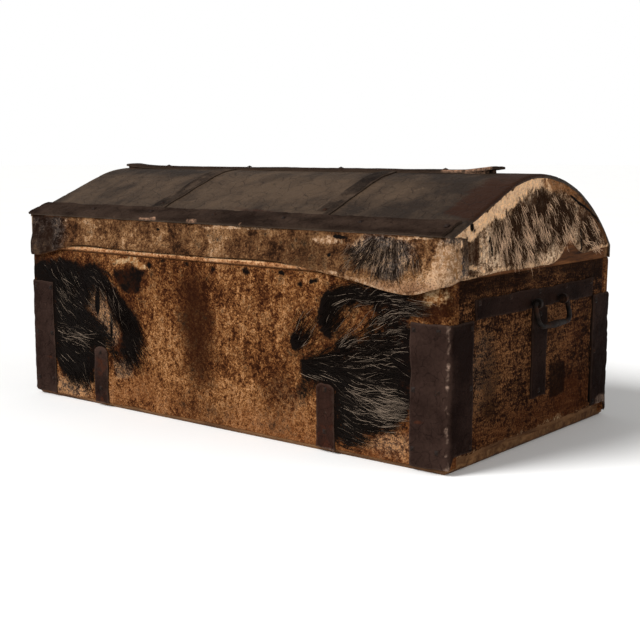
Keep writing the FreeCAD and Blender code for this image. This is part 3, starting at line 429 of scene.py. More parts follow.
class Graph:
    """Short calls that add nodes to one tree and join them."""

    def __init__(self, tree: bpy.types.NodeTree) -> None:
        """Works on an empty tree."""
        self.tree = tree
        tree.nodes.clear()

    def feed(self, socket: bpy.types.NodeSocket, value: object) -> None:
        """Joins a socket to a value, or sets it to a number or a colour."""
        if isinstance(value, Value):
            self.tree.links.new(value.socket, socket)
        elif isinstance(value, tuple) and socket.type == "RGBA":
            socket.default_value = (*value, 1.0)
        else:
            socket.default_value = value

    def node(self, kind: str, inputs: dict, **settings: object) -> bpy.types.Node:
        """New node with its settings and what goes into its sockets."""
        made = self.tree.nodes.new("ShaderNode" + kind)
        for key, value in settings.items():
            setattr(made, key, value)
        for key, value in inputs.items():
            self.feed(made.inputs[key], value)
        return made

    def add(self, kind: str, inputs: dict, out: int | str = 0, **settings: object) -> Value:
        """What comes out of a new node."""
        return Value(self, self.node(kind, inputs, **settings).outputs[out])

    def math(self, operation: str, a: object, b: object, clamp: bool = False) -> Value:
        """One sum of two values."""
        return self.add("Math", {0: a, 1: b}, operation=operation, use_clamp=clamp)

    def span(self, value: Value, low: float, high: float) -> Value:
        """Smooth step of a value from 0 at low to 1 at high."""
        ends = {"Value": value, "From Min": low, "From Max": high}
        return self.add("MapRange", ends, interpolation_type="SMOOTHSTEP")

    def blend(self, share: Value, a: object, b: object) -> Value:
        """Colour a with a share of colour b."""
        return self.add("Mix", {0: share, 6: a, 7: b}, 2, data_type="RGBA", blend_type="MIX")

    def place(self, stretch: Colour = (1.0, 1.0, 1.0)) -> Value:
        """Object coordinates, stretched along each axis."""
        return self.add("Mapping", {"Vector": self.add("TexCoord", {}, "Object"), "Scale": stretch})

    def noise(
        self, where: Value, scale: object, detail: float = 4.0, rough: float = 0.55, bend: float = 0.0
    ) -> Value:
        """Cloudy pattern from about 0.25 to 0.75."""
        return self.add("TexNoise", {
            "Vector": where, "Scale": scale, "Detail": detail, "Roughness": rough, "Distortion": bend,
        })

    def cells(self, where: Value, scale: object, feature: str = "F1") -> Value:
        """Distance from the nearest cell point or cell border."""
        return self.add("TexVoronoi", {"Vector": where, "Scale": scale}, "Distance", feature=feature)

    def ramp(self, value: Value, *stops: tuple[float, Colour]) -> Value:
        """Colour of a value between stops."""
        node = self.node("ValToRGB", {0: value})
        band = node.color_ramp.elements
        for k, (at, tint) in enumerate(stops):
            stop = band[k] if k < 2 else band.new(at)
            stop.position = at
            stop.color = (*tint, 1.0)
        return Value(self, node.outputs[0])

    def mark(self, name: str) -> Value:
        """A piece's own mark."""
        return self.add("Attribute", {}, "Fac", attribute_name=name)

    def group(self, tree: bpy.types.NodeTree, **values: object) -> dict[str, Value]:
        """A shared effect with its own values, as what comes out of it by name."""
        made = self.node("Group", {k.capitalize(): v for k, v in values.items()}, node_tree=tree)
        return {s.name: Value(self, s) for s in made.outputs}

    def finish(
        self, colour: Value, rough: object, heights: list[tuple[Value, float, float]], gloss: float = 0.5,
        metal: float = 0.0,
    ) -> None:
        """Ends a material: one shader over a chain of bumps.

        Args:
            colour: Base colour.
            rough: Roughness.
            heights: Height, strength and depth in metres of each bump, the coarsest first.
            gloss: How much the surface mirrors.
            metal: Share of bare metal.
        """
        below = {}
        for height, strength, depth in heights:
            bump = {"Height": height, "Strength": strength, "Distance": depth, **below}
            below = {"Normal": self.add("Bump", bump)}
        shader = self.add("BsdfPrincipled", {
            "Base Color": colour, "Roughness": rough, "Specular IOR Level": gloss, "Metallic": metal, **below,
        })
        self.node("OutputMaterial", {"Surface": shader})


def effect(
    name: str, inputs: dict[str, float | None], outputs: tuple[str, ...], work: Callable
) -> bpy.types.NodeTree:
    """Effect that finishes share, as a node group.

    Args:
        name: The effect's name.
        inputs: Default of each input, or None for a place.
        outputs: Names of what comes out.
        work: Lays the nodes: it takes the graph and the inputs, and gives back the outputs in order.

    Returns:
        The group's tree.
    """
    tree = bpy.data.node_groups.new(name, "ShaderNodeTree")
    graph = Graph(tree)
    for key, value in inputs.items():
        kind = "NodeSocketVector" if value is None else "NodeSocketFloat"
        socket = tree.interface.new_socket(key, in_out="INPUT", socket_type=kind)
        if value is not None:
            socket.default_value = value
    for key in outputs:
        tree.interface.new_socket(key, in_out="OUTPUT", socket_type="NodeSocketFloat")
    start, end = tree.nodes.new("NodeGroupInput"), tree.nodes.new("NodeGroupOutput")
    for key, value in zip(outputs, work(graph, *(Value(graph, start.outputs[k]) for k in inputs))):
        graph.feed(end.inputs[key], value)
    return tree


class Effects:
    """Effects that several finishes share, each built once."""

    def __init__(self) -> None:
        """Builds the four effects."""
        self.speckle = effect(
            "pores_and_flecks", {"Place": None, "Size": 420.0, "Share": 0.5}, ("Flecks", "Height"),
            self.flecked,
        )
        self.grime = effect("grime", {"Place": None, "Size": 16.0, "Amount": 0.5}, ("Dirt",), self.dirty)
        self.crackle = effect(
            "crackle", {"Place": None, "Size": 60.0, "Width": 0.06}, ("Cracks", "Height"), self.crazed,
        )
        self.rim_wear = effect(
            "rubbed_edges", {"Place": None, "Reach": 3.0, "Size": 90.0}, ("Wear",), self.rubbed,
        )

    @staticmethod
    def flecked(g: Graph, place: Value, size: Value, share: Value) -> tuple[Value, ...]:
        """Dark pores and flecks: small cells kept where a finer cloud is high."""
        dots = g.span(g.cells(place, size), 0.5, 0.12)
        cloud = g.noise(place, size * 0.55, 5.0, 0.75)
        flecks = dots * g.span(cloud + share - 0.62, 0.0, 0.35)
        streak = g.span(cloud, 0.56, 0.68)
        return flecks.most(streak * share), cloud - dots * 0.35

    @staticmethod
    def dirty(g: Graph, place: Value, size: Value, amount: Value) -> tuple[Value, ...]:
        """Blotches of dirt: a wide cloud broken up by a fine one."""
        wide = g.noise(place, size, 6.0, 0.62, 0.4)
        fine = g.noise(place, size * 9.0, 4.0, 0.7)
        return (g.span(wide * 0.7 + fine * 0.3 + amount * 0.3, 0.52, 0.78),)

    @staticmethod
    def crazed(g: Graph, place: Value, size: Value, width: Value) -> tuple[Value, ...]:
        """Crazed surface: borders of cells whose places a cloud has shaken."""
        cloud = g.add("TexNoise", {"Vector": place, "Scale": size * 0.8}, "Color")
        shake = g.add("VectorMath", {0: cloud, 1: (0.012, 0.012, 0.012), 2: place}, operation="MULTIPLY_ADD")
        border = g.cells(shake, size, "DISTANCE_TO_EDGE")
        cracks = 1.0 - g.math("DIVIDE", border, width, True)
        return cracks, 1.0 - cracks

    @staticmethod
    def rubbed(g: Graph, place: Value, reach: Value, size: Value) -> tuple[Value, ...]:
        """Rubbed edges: nearness to the rim, broken up by a cloud."""
        near = 1.0 - g.math("DIVIDE", g.mark("rim"), reach)
        return (g.span(near + (g.noise(place, size, 5.0, 0.7) - 0.5) * 2.4, 0.15, 0.9),)


@dataclass(frozen=True)
class Finish:
    """A look that becomes one material."""

    name: str
    # Near-black of cuts and slits, also painted into folds and creases as shade.
    cut: ClassVar[Colour] = (0.004, 0.003, 0.0025)

    def material(self, effects: Effects | None = None) -> bpy.types.Material:
        """The finish as a material."""
        made = bpy.data.materials.new(self.name)
        made.use_nodes = True
        self.paint(Graph(made.node_tree), effects)
        return made

    def paint(self, g: Graph, effects: Effects | None) -> None:
        """Lays the nodes, in a way of its own for each kind of finish."""
        raise NotImplementedError


@dataclass(frozen=True)
class HideFinish(Finish):
    """Bare rawhide: mottled tan to brown, flecked with pores, with marks for hair, tears, stains and cuts,
    which on some pieces also carry painted shade and painted highlights.
    """

    dark: Colour = (0.016, 0.0044, 0.0016)
    middle: Colour = (0.086, 0.029, 0.009)
    bright: Colour = (0.202, 0.086, 0.027)
    red: Colour = (0.13, 0.042, 0.013)
    pale: Colour = (0.38, 0.192, 0.085)
    flesh_and_highlight: Colour = (0.46, 0.32, 0.18)
    stubble: Colour = (0.0035, 0.0022, 0.0017)
    ash: Colour = (0.085, 0.056, 0.038)
    flecks: float = 0.5
    rough: float = 0.7
    grain: Colour = (1.0, 1.0, 0.4)
    speckle: float = 1.0
    drag: float = 0.9

    def paint(self, g: Graph, effects: Effects) -> None:
        """Tones of five clouds, then rust, grey, flecks, stains and painted shade, torn flesh and painted
        highlights, stubble, cuts and painted shade in folds, and wear.
        """
        where = g.place()
        patch = g.noise(where, 46.0, 6.0, 0.68, 0.2)
        mottle = g.noise(where, 150.0, 5.0, 0.72, 0.1)
        fine = g.noise(where, 400.0, 4.0, 0.75)
        tone = g.mark("light") * 0.24
        for cloud, weight in (
            (g.noise(where, 11.0, 7.0, 0.62, 0.3), 1.1), (patch, 1.3), (mottle, 2.0 * self.speckle),
            (fine, 2.3 * self.speckle),
            (g.noise(g.place(tuple(90.0 * k for k in self.grain)), 1.0, 5.0, 0.65), self.drag),
        ):
            tone = tone + (cloud - 0.5) * weight
        tone = tone + 0.48
        colour = g.ramp(tone, (0.16, self.dark), (0.47, self.middle), (0.76, self.bright), (1.0, self.pale))
        broken = (patch - 0.5) * 1.6 + (mottle - 0.5) * 1.6
        rust = g.span(g.mark("red") + broken, 0.25, 0.95)
        colour = g.blend(rust * 0.6, colour, self.red)
        grey = g.span(g.mark("grey") + broken * 0.6, 0.2, 0.8)
        colour = g.blend(grey, colour, g.ramp(tone, (0.2, self.stubble), (0.5, self.ash), (0.85, self.pale)))
        specks = g.group(effects.speckle, place=where, size=430.0, share=self.flecks)
        colour = g.blend(specks["Flecks"] * 0.8, colour, self.dark)
        dirt = g.group(effects.grime, place=where, size=13.0, amount=0.2)["Dirt"]
        # Stains, and on some pieces painted shade, such as the underside of the lid's bead.
        stain_and_shade = g.span(g.mark("stain_and_shade") + dirt * 0.35 + broken * 0.8, 0.15, 0.95)
        colour = g.blend(stain_and_shade * 0.85, colour, self.dark)
        # Torn flesh, and on some pieces painted highlights, such as the top of the bead and the ridges of the
        # lid ends.
        torn = g.span(g.mark("pale") + broken * 0.8, 0.3, 0.8)
        flesh_and_highlight = g.ramp(mottle * 0.6 + fine * 0.4, (0.36, self.red), (0.47, self.bright), (0.62, self.flesh_and_highlight))
        colour = g.blend(torn, colour, flesh_and_highlight)
        colour = g.blend(g.span(g.mark("hair") + broken * 1.4, 0.1, 0.85), colour, self.stubble)
        # Cuts, and painted shade in the folds of the lid ends and the creases of the flap's corner.
        colour = g.blend(g.span(g.mark("cut") + broken * 0.3, 0.35, 0.65), colour, self.cut)
        worn = g.group(effects.rim_wear, place=where, reach=3.5, size=120.0)["Wear"]
        colour = g.blend(worn * 0.25, colour, self.middle)
        colour = g.blend(g.mark("inside"), colour, self.bright)
        bumps = [(patch, 0.5, 0.004), (specks["Height"], 0.55, 0.0014), (fine, 0.35, 0.0009)]
        g.finish(colour, fine * 0.3 + (self.rough - 0.12), bumps, 0.012)


@dataclass(frozen=True)
class LeatherFinish(Finish):
    """Old tanned leather, nearly black, crazed, scuffed brown on its edges and where it is marked."""

    base: Colour = (0.0085, 0.0042, 0.0032)
    light: Colour = (0.034, 0.019, 0.0145)
    worn: Colour = (0.05, 0.031, 0.023)
    red: Colour = (0.045, 0.013, 0.0055)
    torn: Colour = (0.30, 0.20, 0.15)
    rough: float = 0.55
    gloss: float = 0.008
    wear: float = 0.5
    crack_size: float = 70.0
    spread: tuple[float, float] = (0.34, 0.66)

    def paint(self, g: Graph, effects: Effects) -> None:
        """A cloudy ground, then rust, cracks, rubbed edges, torn grain and cuts."""
        where = g.place()
        fine = g.noise(where, 260.0, 5.0, 0.7)
        scuff = g.noise(where, 60.0, 6.0, 0.72, 0.5)
        tone = g.noise(where, 14.0, 6.0, 0.6, 0.3) * 0.7 + fine * 0.3 + g.mark("light") * 0.3
        colour = g.ramp(tone, (self.spread[0], self.base), (self.spread[1], self.light))
        broken = (scuff - 0.5) * 2.0
        rust = g.span(g.mark("red") + broken, 0.3, 0.9)
        colour = g.blend(rust * 0.8, colour, self.red)
        cracks = g.group(effects.crackle, place=where, size=self.crack_size, width=0.05)
        seams = cracks["Cracks"] * g.span(scuff, 0.42, 0.6)
        colour = g.blend(seams * 0.65, colour, tuple(0.35 * c for c in self.base))
        rub = g.group(effects.rim_wear, place=where, reach=4.0, size=110.0)["Wear"]
        rubbed = rub.most(g.span(scuff, 0.62, 0.74)) * self.wear
        colour = g.blend(rubbed * 0.7, colour, self.worn)
        bare = g.span(g.mark("pale") + broken * 0.5, 0.35, 0.8)
        colour = g.blend(bare, colour, g.ramp(fine, (0.36, self.worn), (0.62, self.torn)))
        colour = g.blend(g.span(g.mark("cut") + broken * 0.2, 0.35, 0.7), colour, self.cut)
        colour = g.blend(g.mark("inside") * 0.8, colour, self.worn)
        bumps = [(scuff, 0.4, 0.003), (cracks["Height"], 0.35, 0.0012), (fine, 0.4, 0.0008)]
        g.finish(colour, scuff * 0.3 + (self.rough - 0.1), bumps, self.gloss)


@dataclass(frozen=True)
class WoodFinish(Finish):
    """Unpainted pine, aged brown, with grain drawn out along one axis."""

    squeeze: Colour = (3.0, 46.0, 46.0)
    dark: Colour = (0.028, 0.011, 0.0045)
    middle: Colour = (0.12, 0.055, 0.022)
    bright: Colour = (0.24, 0.125, 0.054)
    dirt: float = 0.45

    def paint(self, g: Graph, effects: Effects) -> None:
        """Growth rings and fibres drawn out along the grain, then dirt."""
        rings = g.noise(g.place(self.squeeze), 1.0, 5.0, 0.6, 1.4)
        fibres = g.noise(g.place(tuple(6.0 * k for k in self.squeeze)), 1.0, 4.0, 0.7)
        tone = rings * 0.7 + fibres * 0.3
        colour = g.ramp(tone, (0.34, self.dark), (0.48, self.middle), (0.68, self.bright))
        dirt = g.group(effects.grime, place=g.place(), size=15.0, amount=self.dirt)["Dirt"]
        colour = g.blend(dirt * 0.6, colour, self.dark)
        g.finish(colour, fibres * 0.3 + 0.6, [(rings, 0.4, 0.002), (fibres, 0.5, 0.001)], 0.06)


@dataclass(frozen=True)
class IronFinish(Finish):
    """Hammered iron, black with scale and rust."""

    scale: Colour = (0.006, 0.0047, 0.0041)
    bare: Colour = (0.018, 0.0145, 0.0128)
    rust: Colour = (0.05, 0.018, 0.007)
    polish: float = 0.5
    metal: float = 0.08

    def paint(self, g: Graph, effects: Effects) -> None:
        """Hammer marks, then rust."""
        where = g.place()
        hammer = g.noise(where, 150.0, 3.0, 0.5)
        colour = g.ramp(hammer, (0.35, self.scale), (0.7, self.bare))
        dirt = g.group(effects.grime, place=where, size=70.0, amount=0.25)["Dirt"]
        colour = g.blend(dirt * 0.7, colour, self.rust)
        bumps = [(hammer, 0.5, 0.0015), (g.noise(where, 700.0, 4.0, 0.7), 0.3, 0.0004)]
        g.finish(colour, dirt * 0.35 + self.polish, bumps, self.metal / 2, self.metal)


@dataclass(frozen=True)
class HairFinish(Finish):
    """Coarse hair, its shade set for each lock and lighter towards the tips of the pale ones, which are
    bleached hair and, on the black hair, painted glints.
    """

    root: Colour = (0.002, 0.0013, 0.001)
    body: Colour = (0.011, 0.0072, 0.0054)
    # Pale end of the tint: bleached hair, and on the black hair, a painted glint.
    faded_and_glint: Colour = (0.3, 0.225, 0.165)
    rough: float = 0.45

    def paint(self, g: Graph, effects: Effects) -> None:
        """Each lock's own tint, darker to the root, then dirt."""
        where = g.place()
        tint = g.mark("tint")
        colour = g.ramp(tint, (0.0, self.root), (0.55, self.body), (1.0, self.faded_and_glint))
        colour = g.blend((1.0 - g.mark("along")) * 0.45, colour, self.root)
        dirt = g.group(effects.grime, place=where, size=40.0, amount=0.1)["Dirt"]
        colour = g.blend(dirt * 0.25, colour, self.root)
        g.finish(colour, tint * 0.2 + self.rough, [(g.noise(where, 900.0, 2.0), 0.2, 0.0003)], 0.012)


@dataclass(frozen=True)
class FloorFinish(Finish):
    """Pale studio floor, hardly mottled."""

    def paint(self, g: Graph, effects: Effects | None) -> None:
        """One faint cloud."""
        mottle = g.noise(g.place(), 3.0, 3.0)
        colour = g.ramp(mottle, (0.3, (0.90, 0.90, 0.895)), (0.7, (0.92, 0.92, 0.915)))
        g.finish(colour, 0.75, [(mottle, 0.02, 0.001)])


class Finishes:
    """All finishes of the trunk as materials."""

    def __init__(self) -> None:
        """Builds the shared effects and then each material."""
        e = Effects()
        across = (46.0, 3.0, 46.0)
        self.front_hide = HideFinish("golden_hide").material(e)
        self.end_hide = HideFinish(
            "rusty_hide", dark=(0.006, 0.0021, 0.0009), middle=(0.027, 0.0098, 0.0042),
            bright=(0.12, 0.05, 0.019),
            red=(0.07, 0.019, 0.005), pale=(0.2, 0.09, 0.035), grain=(1.2, 0.5, 2.6), drag=1.5, speckle=1.2,
        ).material(e)
        self.flap_hide = HideFinish(
            "lid_hide", dark=(0.012, 0.005, 0.0024), middle=(0.078, 0.033, 0.013), bright=(0.2, 0.102, 0.043),
            red=(0.22, 0.115, 0.065), pale=(0.42, 0.26, 0.15), flesh_and_highlight=(0.56, 0.38, 0.25),
            ash=(0.08, 0.064, 0.055),
            flecks=0.42, speckle=0.6,
        ).material(e)
        # Its flesh and pale colours are lighter than the hide's own: the torn strip along the arch is pale
        # flesh, lightened further as a painted highlight.
        self.grey_hide = HideFinish(
            "grey_hide", dark=(0.018, 0.007, 0.003), middle=(0.125, 0.066, 0.034), bright=(0.5, 0.34, 0.215),
            red=(0.34, 0.14, 0.048), pale=(0.76, 0.55, 0.37), flesh_and_highlight=(0.92, 0.52, 0.25), speckle=0.75,
            flecks=0.42,
        ).material(e)
        self.bead = HideFinish(
            "rubbed_and_highlit_bead", dark=(0.075, 0.027, 0.0095), middle=(0.31, 0.135, 0.053),
            bright=(0.52, 0.285, 0.14),
            pale=(0.68, 0.48, 0.3), flecks=0.3, grain=(0.25, 1.0, 1.0),
        ).material(e)
        self.strap = LeatherFinish("strap_leather").material(e)
        self.red_strap = LeatherFinish(
            "maroon_leather", base=(0.010, 0.0045, 0.003), light=(0.027, 0.0125, 0.009),
            red=(0.05, 0.014, 0.007),
        ).material(e)
        self.cover = LeatherFinish(
            "cover_leather", base=(0.019, 0.012, 0.0082), light=(0.066, 0.042, 0.026),
            worn=(0.075, 0.05, 0.034),
            red=(0.022, 0.0062, 0.002), rough=0.5, wear=0.35, crack_size=45.0, gloss=0.08,
            spread=(0.38, 0.66),
        ).material(e)
        self.end_strap = LeatherFinish(
            "blackened_leather", base=(0.005, 0.0023, 0.0017), light=(0.02, 0.0105, 0.0078),
            worn=(0.035, 0.02, 0.014),
        ).material(e)
        self.lid_strap = LeatherFinish(
            "lid_strap_leather", base=(0.009, 0.0056, 0.0042), light=(0.056, 0.037, 0.025),
            worn=(0.06, 0.04, 0.029),
            crack_size=60.0, gloss=0.03,
        ).material(e)
        self.band = LeatherFinish(
            "band_leather", base=(0.0125, 0.0073, 0.0053), light=(0.034, 0.021, 0.015),
            worn=(0.05, 0.033, 0.023),
            torn=(0.36, 0.2, 0.125), wear=0.15,
        ).material(e)
        self.long_wood = WoodFinish("long_pine").material(e)
        self.cross_wood = WoodFinish("cross_pine", across).material(e)
        self.lid_wood = WoodFinish(
            "amber_pine", across, dark=(0.014, 0.0047, 0.0016), middle=(0.095, 0.034, 0.0105),
            bright=(0.25, 0.102, 0.035), dirt=0.4,
        ).material(e)
        self.iron = IronFinish("forged_iron").material(e)
        self.nails = IronFinish(
            "rusted_nails", scale=(0.008, 0.005, 0.004), bare=(0.018, 0.012, 0.010), polish=0.6, metal=0.1,
        ).material(e)
        # Its pale locks are painted glints along the hair.
        self.black_hair = HairFinish("black_hair").material(e)
        self.flap_hair = HairFinish(
            "flap_hair", root=(0.009, 0.0055, 0.0036), body=(0.03, 0.019, 0.0125), faded_and_glint=(0.26, 0.18, 0.125),
        ).material(e)
        self.grey_hair = HairFinish(
            "grey_hair", root=(0.014, 0.006, 0.0028), body=(0.06, 0.03, 0.0155), faded_and_glint=(0.97, 0.64, 0.41),
        ).material(e)


# Lines of the trunk


def wrap_line(
    half_x: float, half_y: float, radius: float, lap_left: float, lap_right: float, step: float
) -> tuple[Array, Array, Array]:
    """Line along the front and round both corners: two laps, two quarter rounds and a straight, in plan.

    Args:
        half_x, half_y: Half the plan's length and depth.
        radius: Radius of the corners.
        lap_left, lap_right: How far the line runs back along each end.
        step: Spacing of the points.

    Returns:
        Points, their outward directions, and their distance along the line from its middle.
    """
    def part(*columns: Array | float) -> Array:
        """Rows of a place and its outward direction."""
        return np.stack(np.broadcast_arrays(*columns), -1).astype(float)

    turn = np.linspace(0, math.pi / 2, 7)[1:-1]
    cos, sin = np.cos(turn), np.sin(turn)
    cx, cy = half_x - radius, half_y - radius
    left = part(-half_x, steps(-half_y + lap_left, -cy, step), -1, 0)
    rows = np.concatenate([
        left,
        part(-cx - radius * cos, -cy - radius * sin, -cos, -sin),
        part(steps(-cx, cx, step), -half_y, 0, -1),
        part(cx + radius * sin, -cy - radius * cos, sin, -cos),
        part(half_x, steps(-cy, -half_y + lap_right, step), 1, 0),
    ])
    x, y = rows[:, 0], rows[:, 1]
    s = walked(x, y)
    s -= np.interp(0.0, x, s) if lap_left == lap_right else s[len(left) + len(turn)] + cx
    return rows[:, :2], rows[:, 2:], s


@dataclass(frozen=True)
class LidLine:
    """Outline of the lid across the trunk: a slope from the knee, a crown, a wider round back and a wall."""

    skin: float = 0.0
    half_depth: float = 229.0
    knee_z: float = 307.0
    ridge_y: float = -5.0
    ridge_z: float = 381.0
    eave_z: float = 269.0
    crown_radius: float = 210.0
    foot_z: float = 250.5

    @property
    def crown_z(self) -> float:
        """Height of the crown's centre."""
        return self.ridge_z - self.crown_radius

    @property
    def slope(self) -> float:
        """Angle of the line from the knee that touches the crown."""
        across = self.ridge_y + self.half_depth
        up = self.knee_z - self.crown_z
        return math.asin(self.crown_radius / math.hypot(across, up)) - math.atan2(up, across)

    @property
    def back_radius(self) -> float:
        """Radius of the back's round through the ridge and the eave."""
        run, drop = self.half_depth - self.ridge_y, self.ridge_z - self.eave_z
        return (run * run + drop * drop) / (2 * drop)

    def height(self, y: Array) -> Array:
        """Height of the outline over each depth."""
        r = self.crown_radius + self.skin
        rb = self.back_radius + self.skin
        y1 = self.ridge_y - r * math.sin(self.slope)
        z1 = self.crown_z + r * math.cos(self.slope)
        crown = self.crown_z + np.sqrt(np.maximum(r * r - (y - self.ridge_y) ** 2, 0))
        back = self.ridge_z - self.back_radius + np.sqrt(np.maximum(rb * rb - (y - self.ridge_y) ** 2, 0))
        return np.where(y < y1, z1 + math.tan(self.slope) * (y - y1), np.where(y < self.ridge_y, crown, back))

    def run(self, y0: float, y1: float, step: float, wall: bool = False) -> tuple[Array, Array]:
        """Even points along the outline and their outward directions.

        Args:
            y0, y1: Depths where it starts and ends.
            step: Spacing.
            wall: Whether it goes on down the back wall to the lid's foot.

        Returns:
            Points and directions in the plane across the trunk.
        """
        y = np.linspace(y0, y1, 1500)
        z = self.height(y)
        if wall:
            down = np.linspace(z[-1], self.foot_z, 60)[1:]
            y, z = np.concatenate([y, np.full(len(down), y1)]), np.concatenate([z, down])
        s = walked(y, z)
        even = steps(0.0, s[-1], step)
        p = np.stack([np.interp(even, s, y), np.interp(even, s, z)], -1)
        t = unit(np.gradient(p, axis=0))
        return p, np.stack([-t[:, 1], t[:, 0]], -1)


# Sub-assemblies


def locks(
    name: str, root: Array, heading: Field, lie: Callable[[Array, Array, Array], Array],
    rng: np.random.Generator,
    length: tuple[float, float], width: tuple[float, float], lift: tuple[float, float], fade_and_glint: Field,
    bright: tuple[float, float] = (0.68, 1.0), free: Field | None = None, rings: int = 6,
) -> bpy.types.Object:
    """Locks of hair: each runs from its root along the hair's lie, arches off the skin and tapers to a point.

    Args:
        name: The piece's name.
        root: Roots in the surface's two parameters.
        heading: Angle of the lie at each place.
        lie: Gives points in space from the two parameters and a height over the skin.
        rng: Random numbers of this patch.
        length, width, lift: Least and greatest of the locks.
        fade_and_glint: Share of pale locks at each place: bleached hair, and on the front, painted glints.
        bright: Least and greatest tint of the pale locks.
        free: Tells where locks may lie; one that strays is left out.
        rings: Rings of points in a lock.

    Returns:
        The object.
    """
    count = len(root)
    own = rng.normal(0, 0.12, count)
    span = rng.uniform(*length, count)
    curl = rng.normal(0, 0.18, count)
    path = np.empty((count, rings, 2))
    path[:, 0] = root
    for k in range(1, rings):
        at = path[:, k - 1]
        angle = heading(at[:, 0], at[:, 1]) + own + curl * math.sin(4.0 * k / rings)
        path[:, k] = at + (span / (rings - 1))[:, None] * np.stack([np.cos(angle), np.sin(angle)], -1)
    # Pale locks: bleached hair, and on the front's black hair, painted glints.
    pale = rng.uniform(0, 1, count) < fade_and_glint(root[:, 0], root[:, 1])
    shade = np.where(pale, rng.uniform(*bright, count), rng.uniform(0.0, 0.5, count))
    if free is not None:
        clear = free(path[..., 0], path[..., 1]).all(axis=1)
        path, shade = path[clear], shade[clear]
        count = len(path)
    along = np.linspace(0, 1, rings)
    high = rng.uniform(*lift, count)[:, None] * np.sin(math.pi * (0.08 + 0.62 * along)) - 0.6 * (along == 0)
    middle = lie(path[..., 0], path[..., 1], high)
    above = lie(path[..., 0], path[..., 1], high + 1.0) - middle
    side = unit(np.cross(unit(np.gradient(middle, axis=1)), above))
    half = rng.uniform(*width, count)[:, None] * np.interp(along, [0, 0.3, 1], [0.7, 1.0, 0.12])
    spokes = np.stack([-side, 0.75 * above, side], 2)
    points = middle[:, :, None] + spokes * half[..., None, None]
    return tubes(name, points, {"tint": shade[:, None], "along": along})


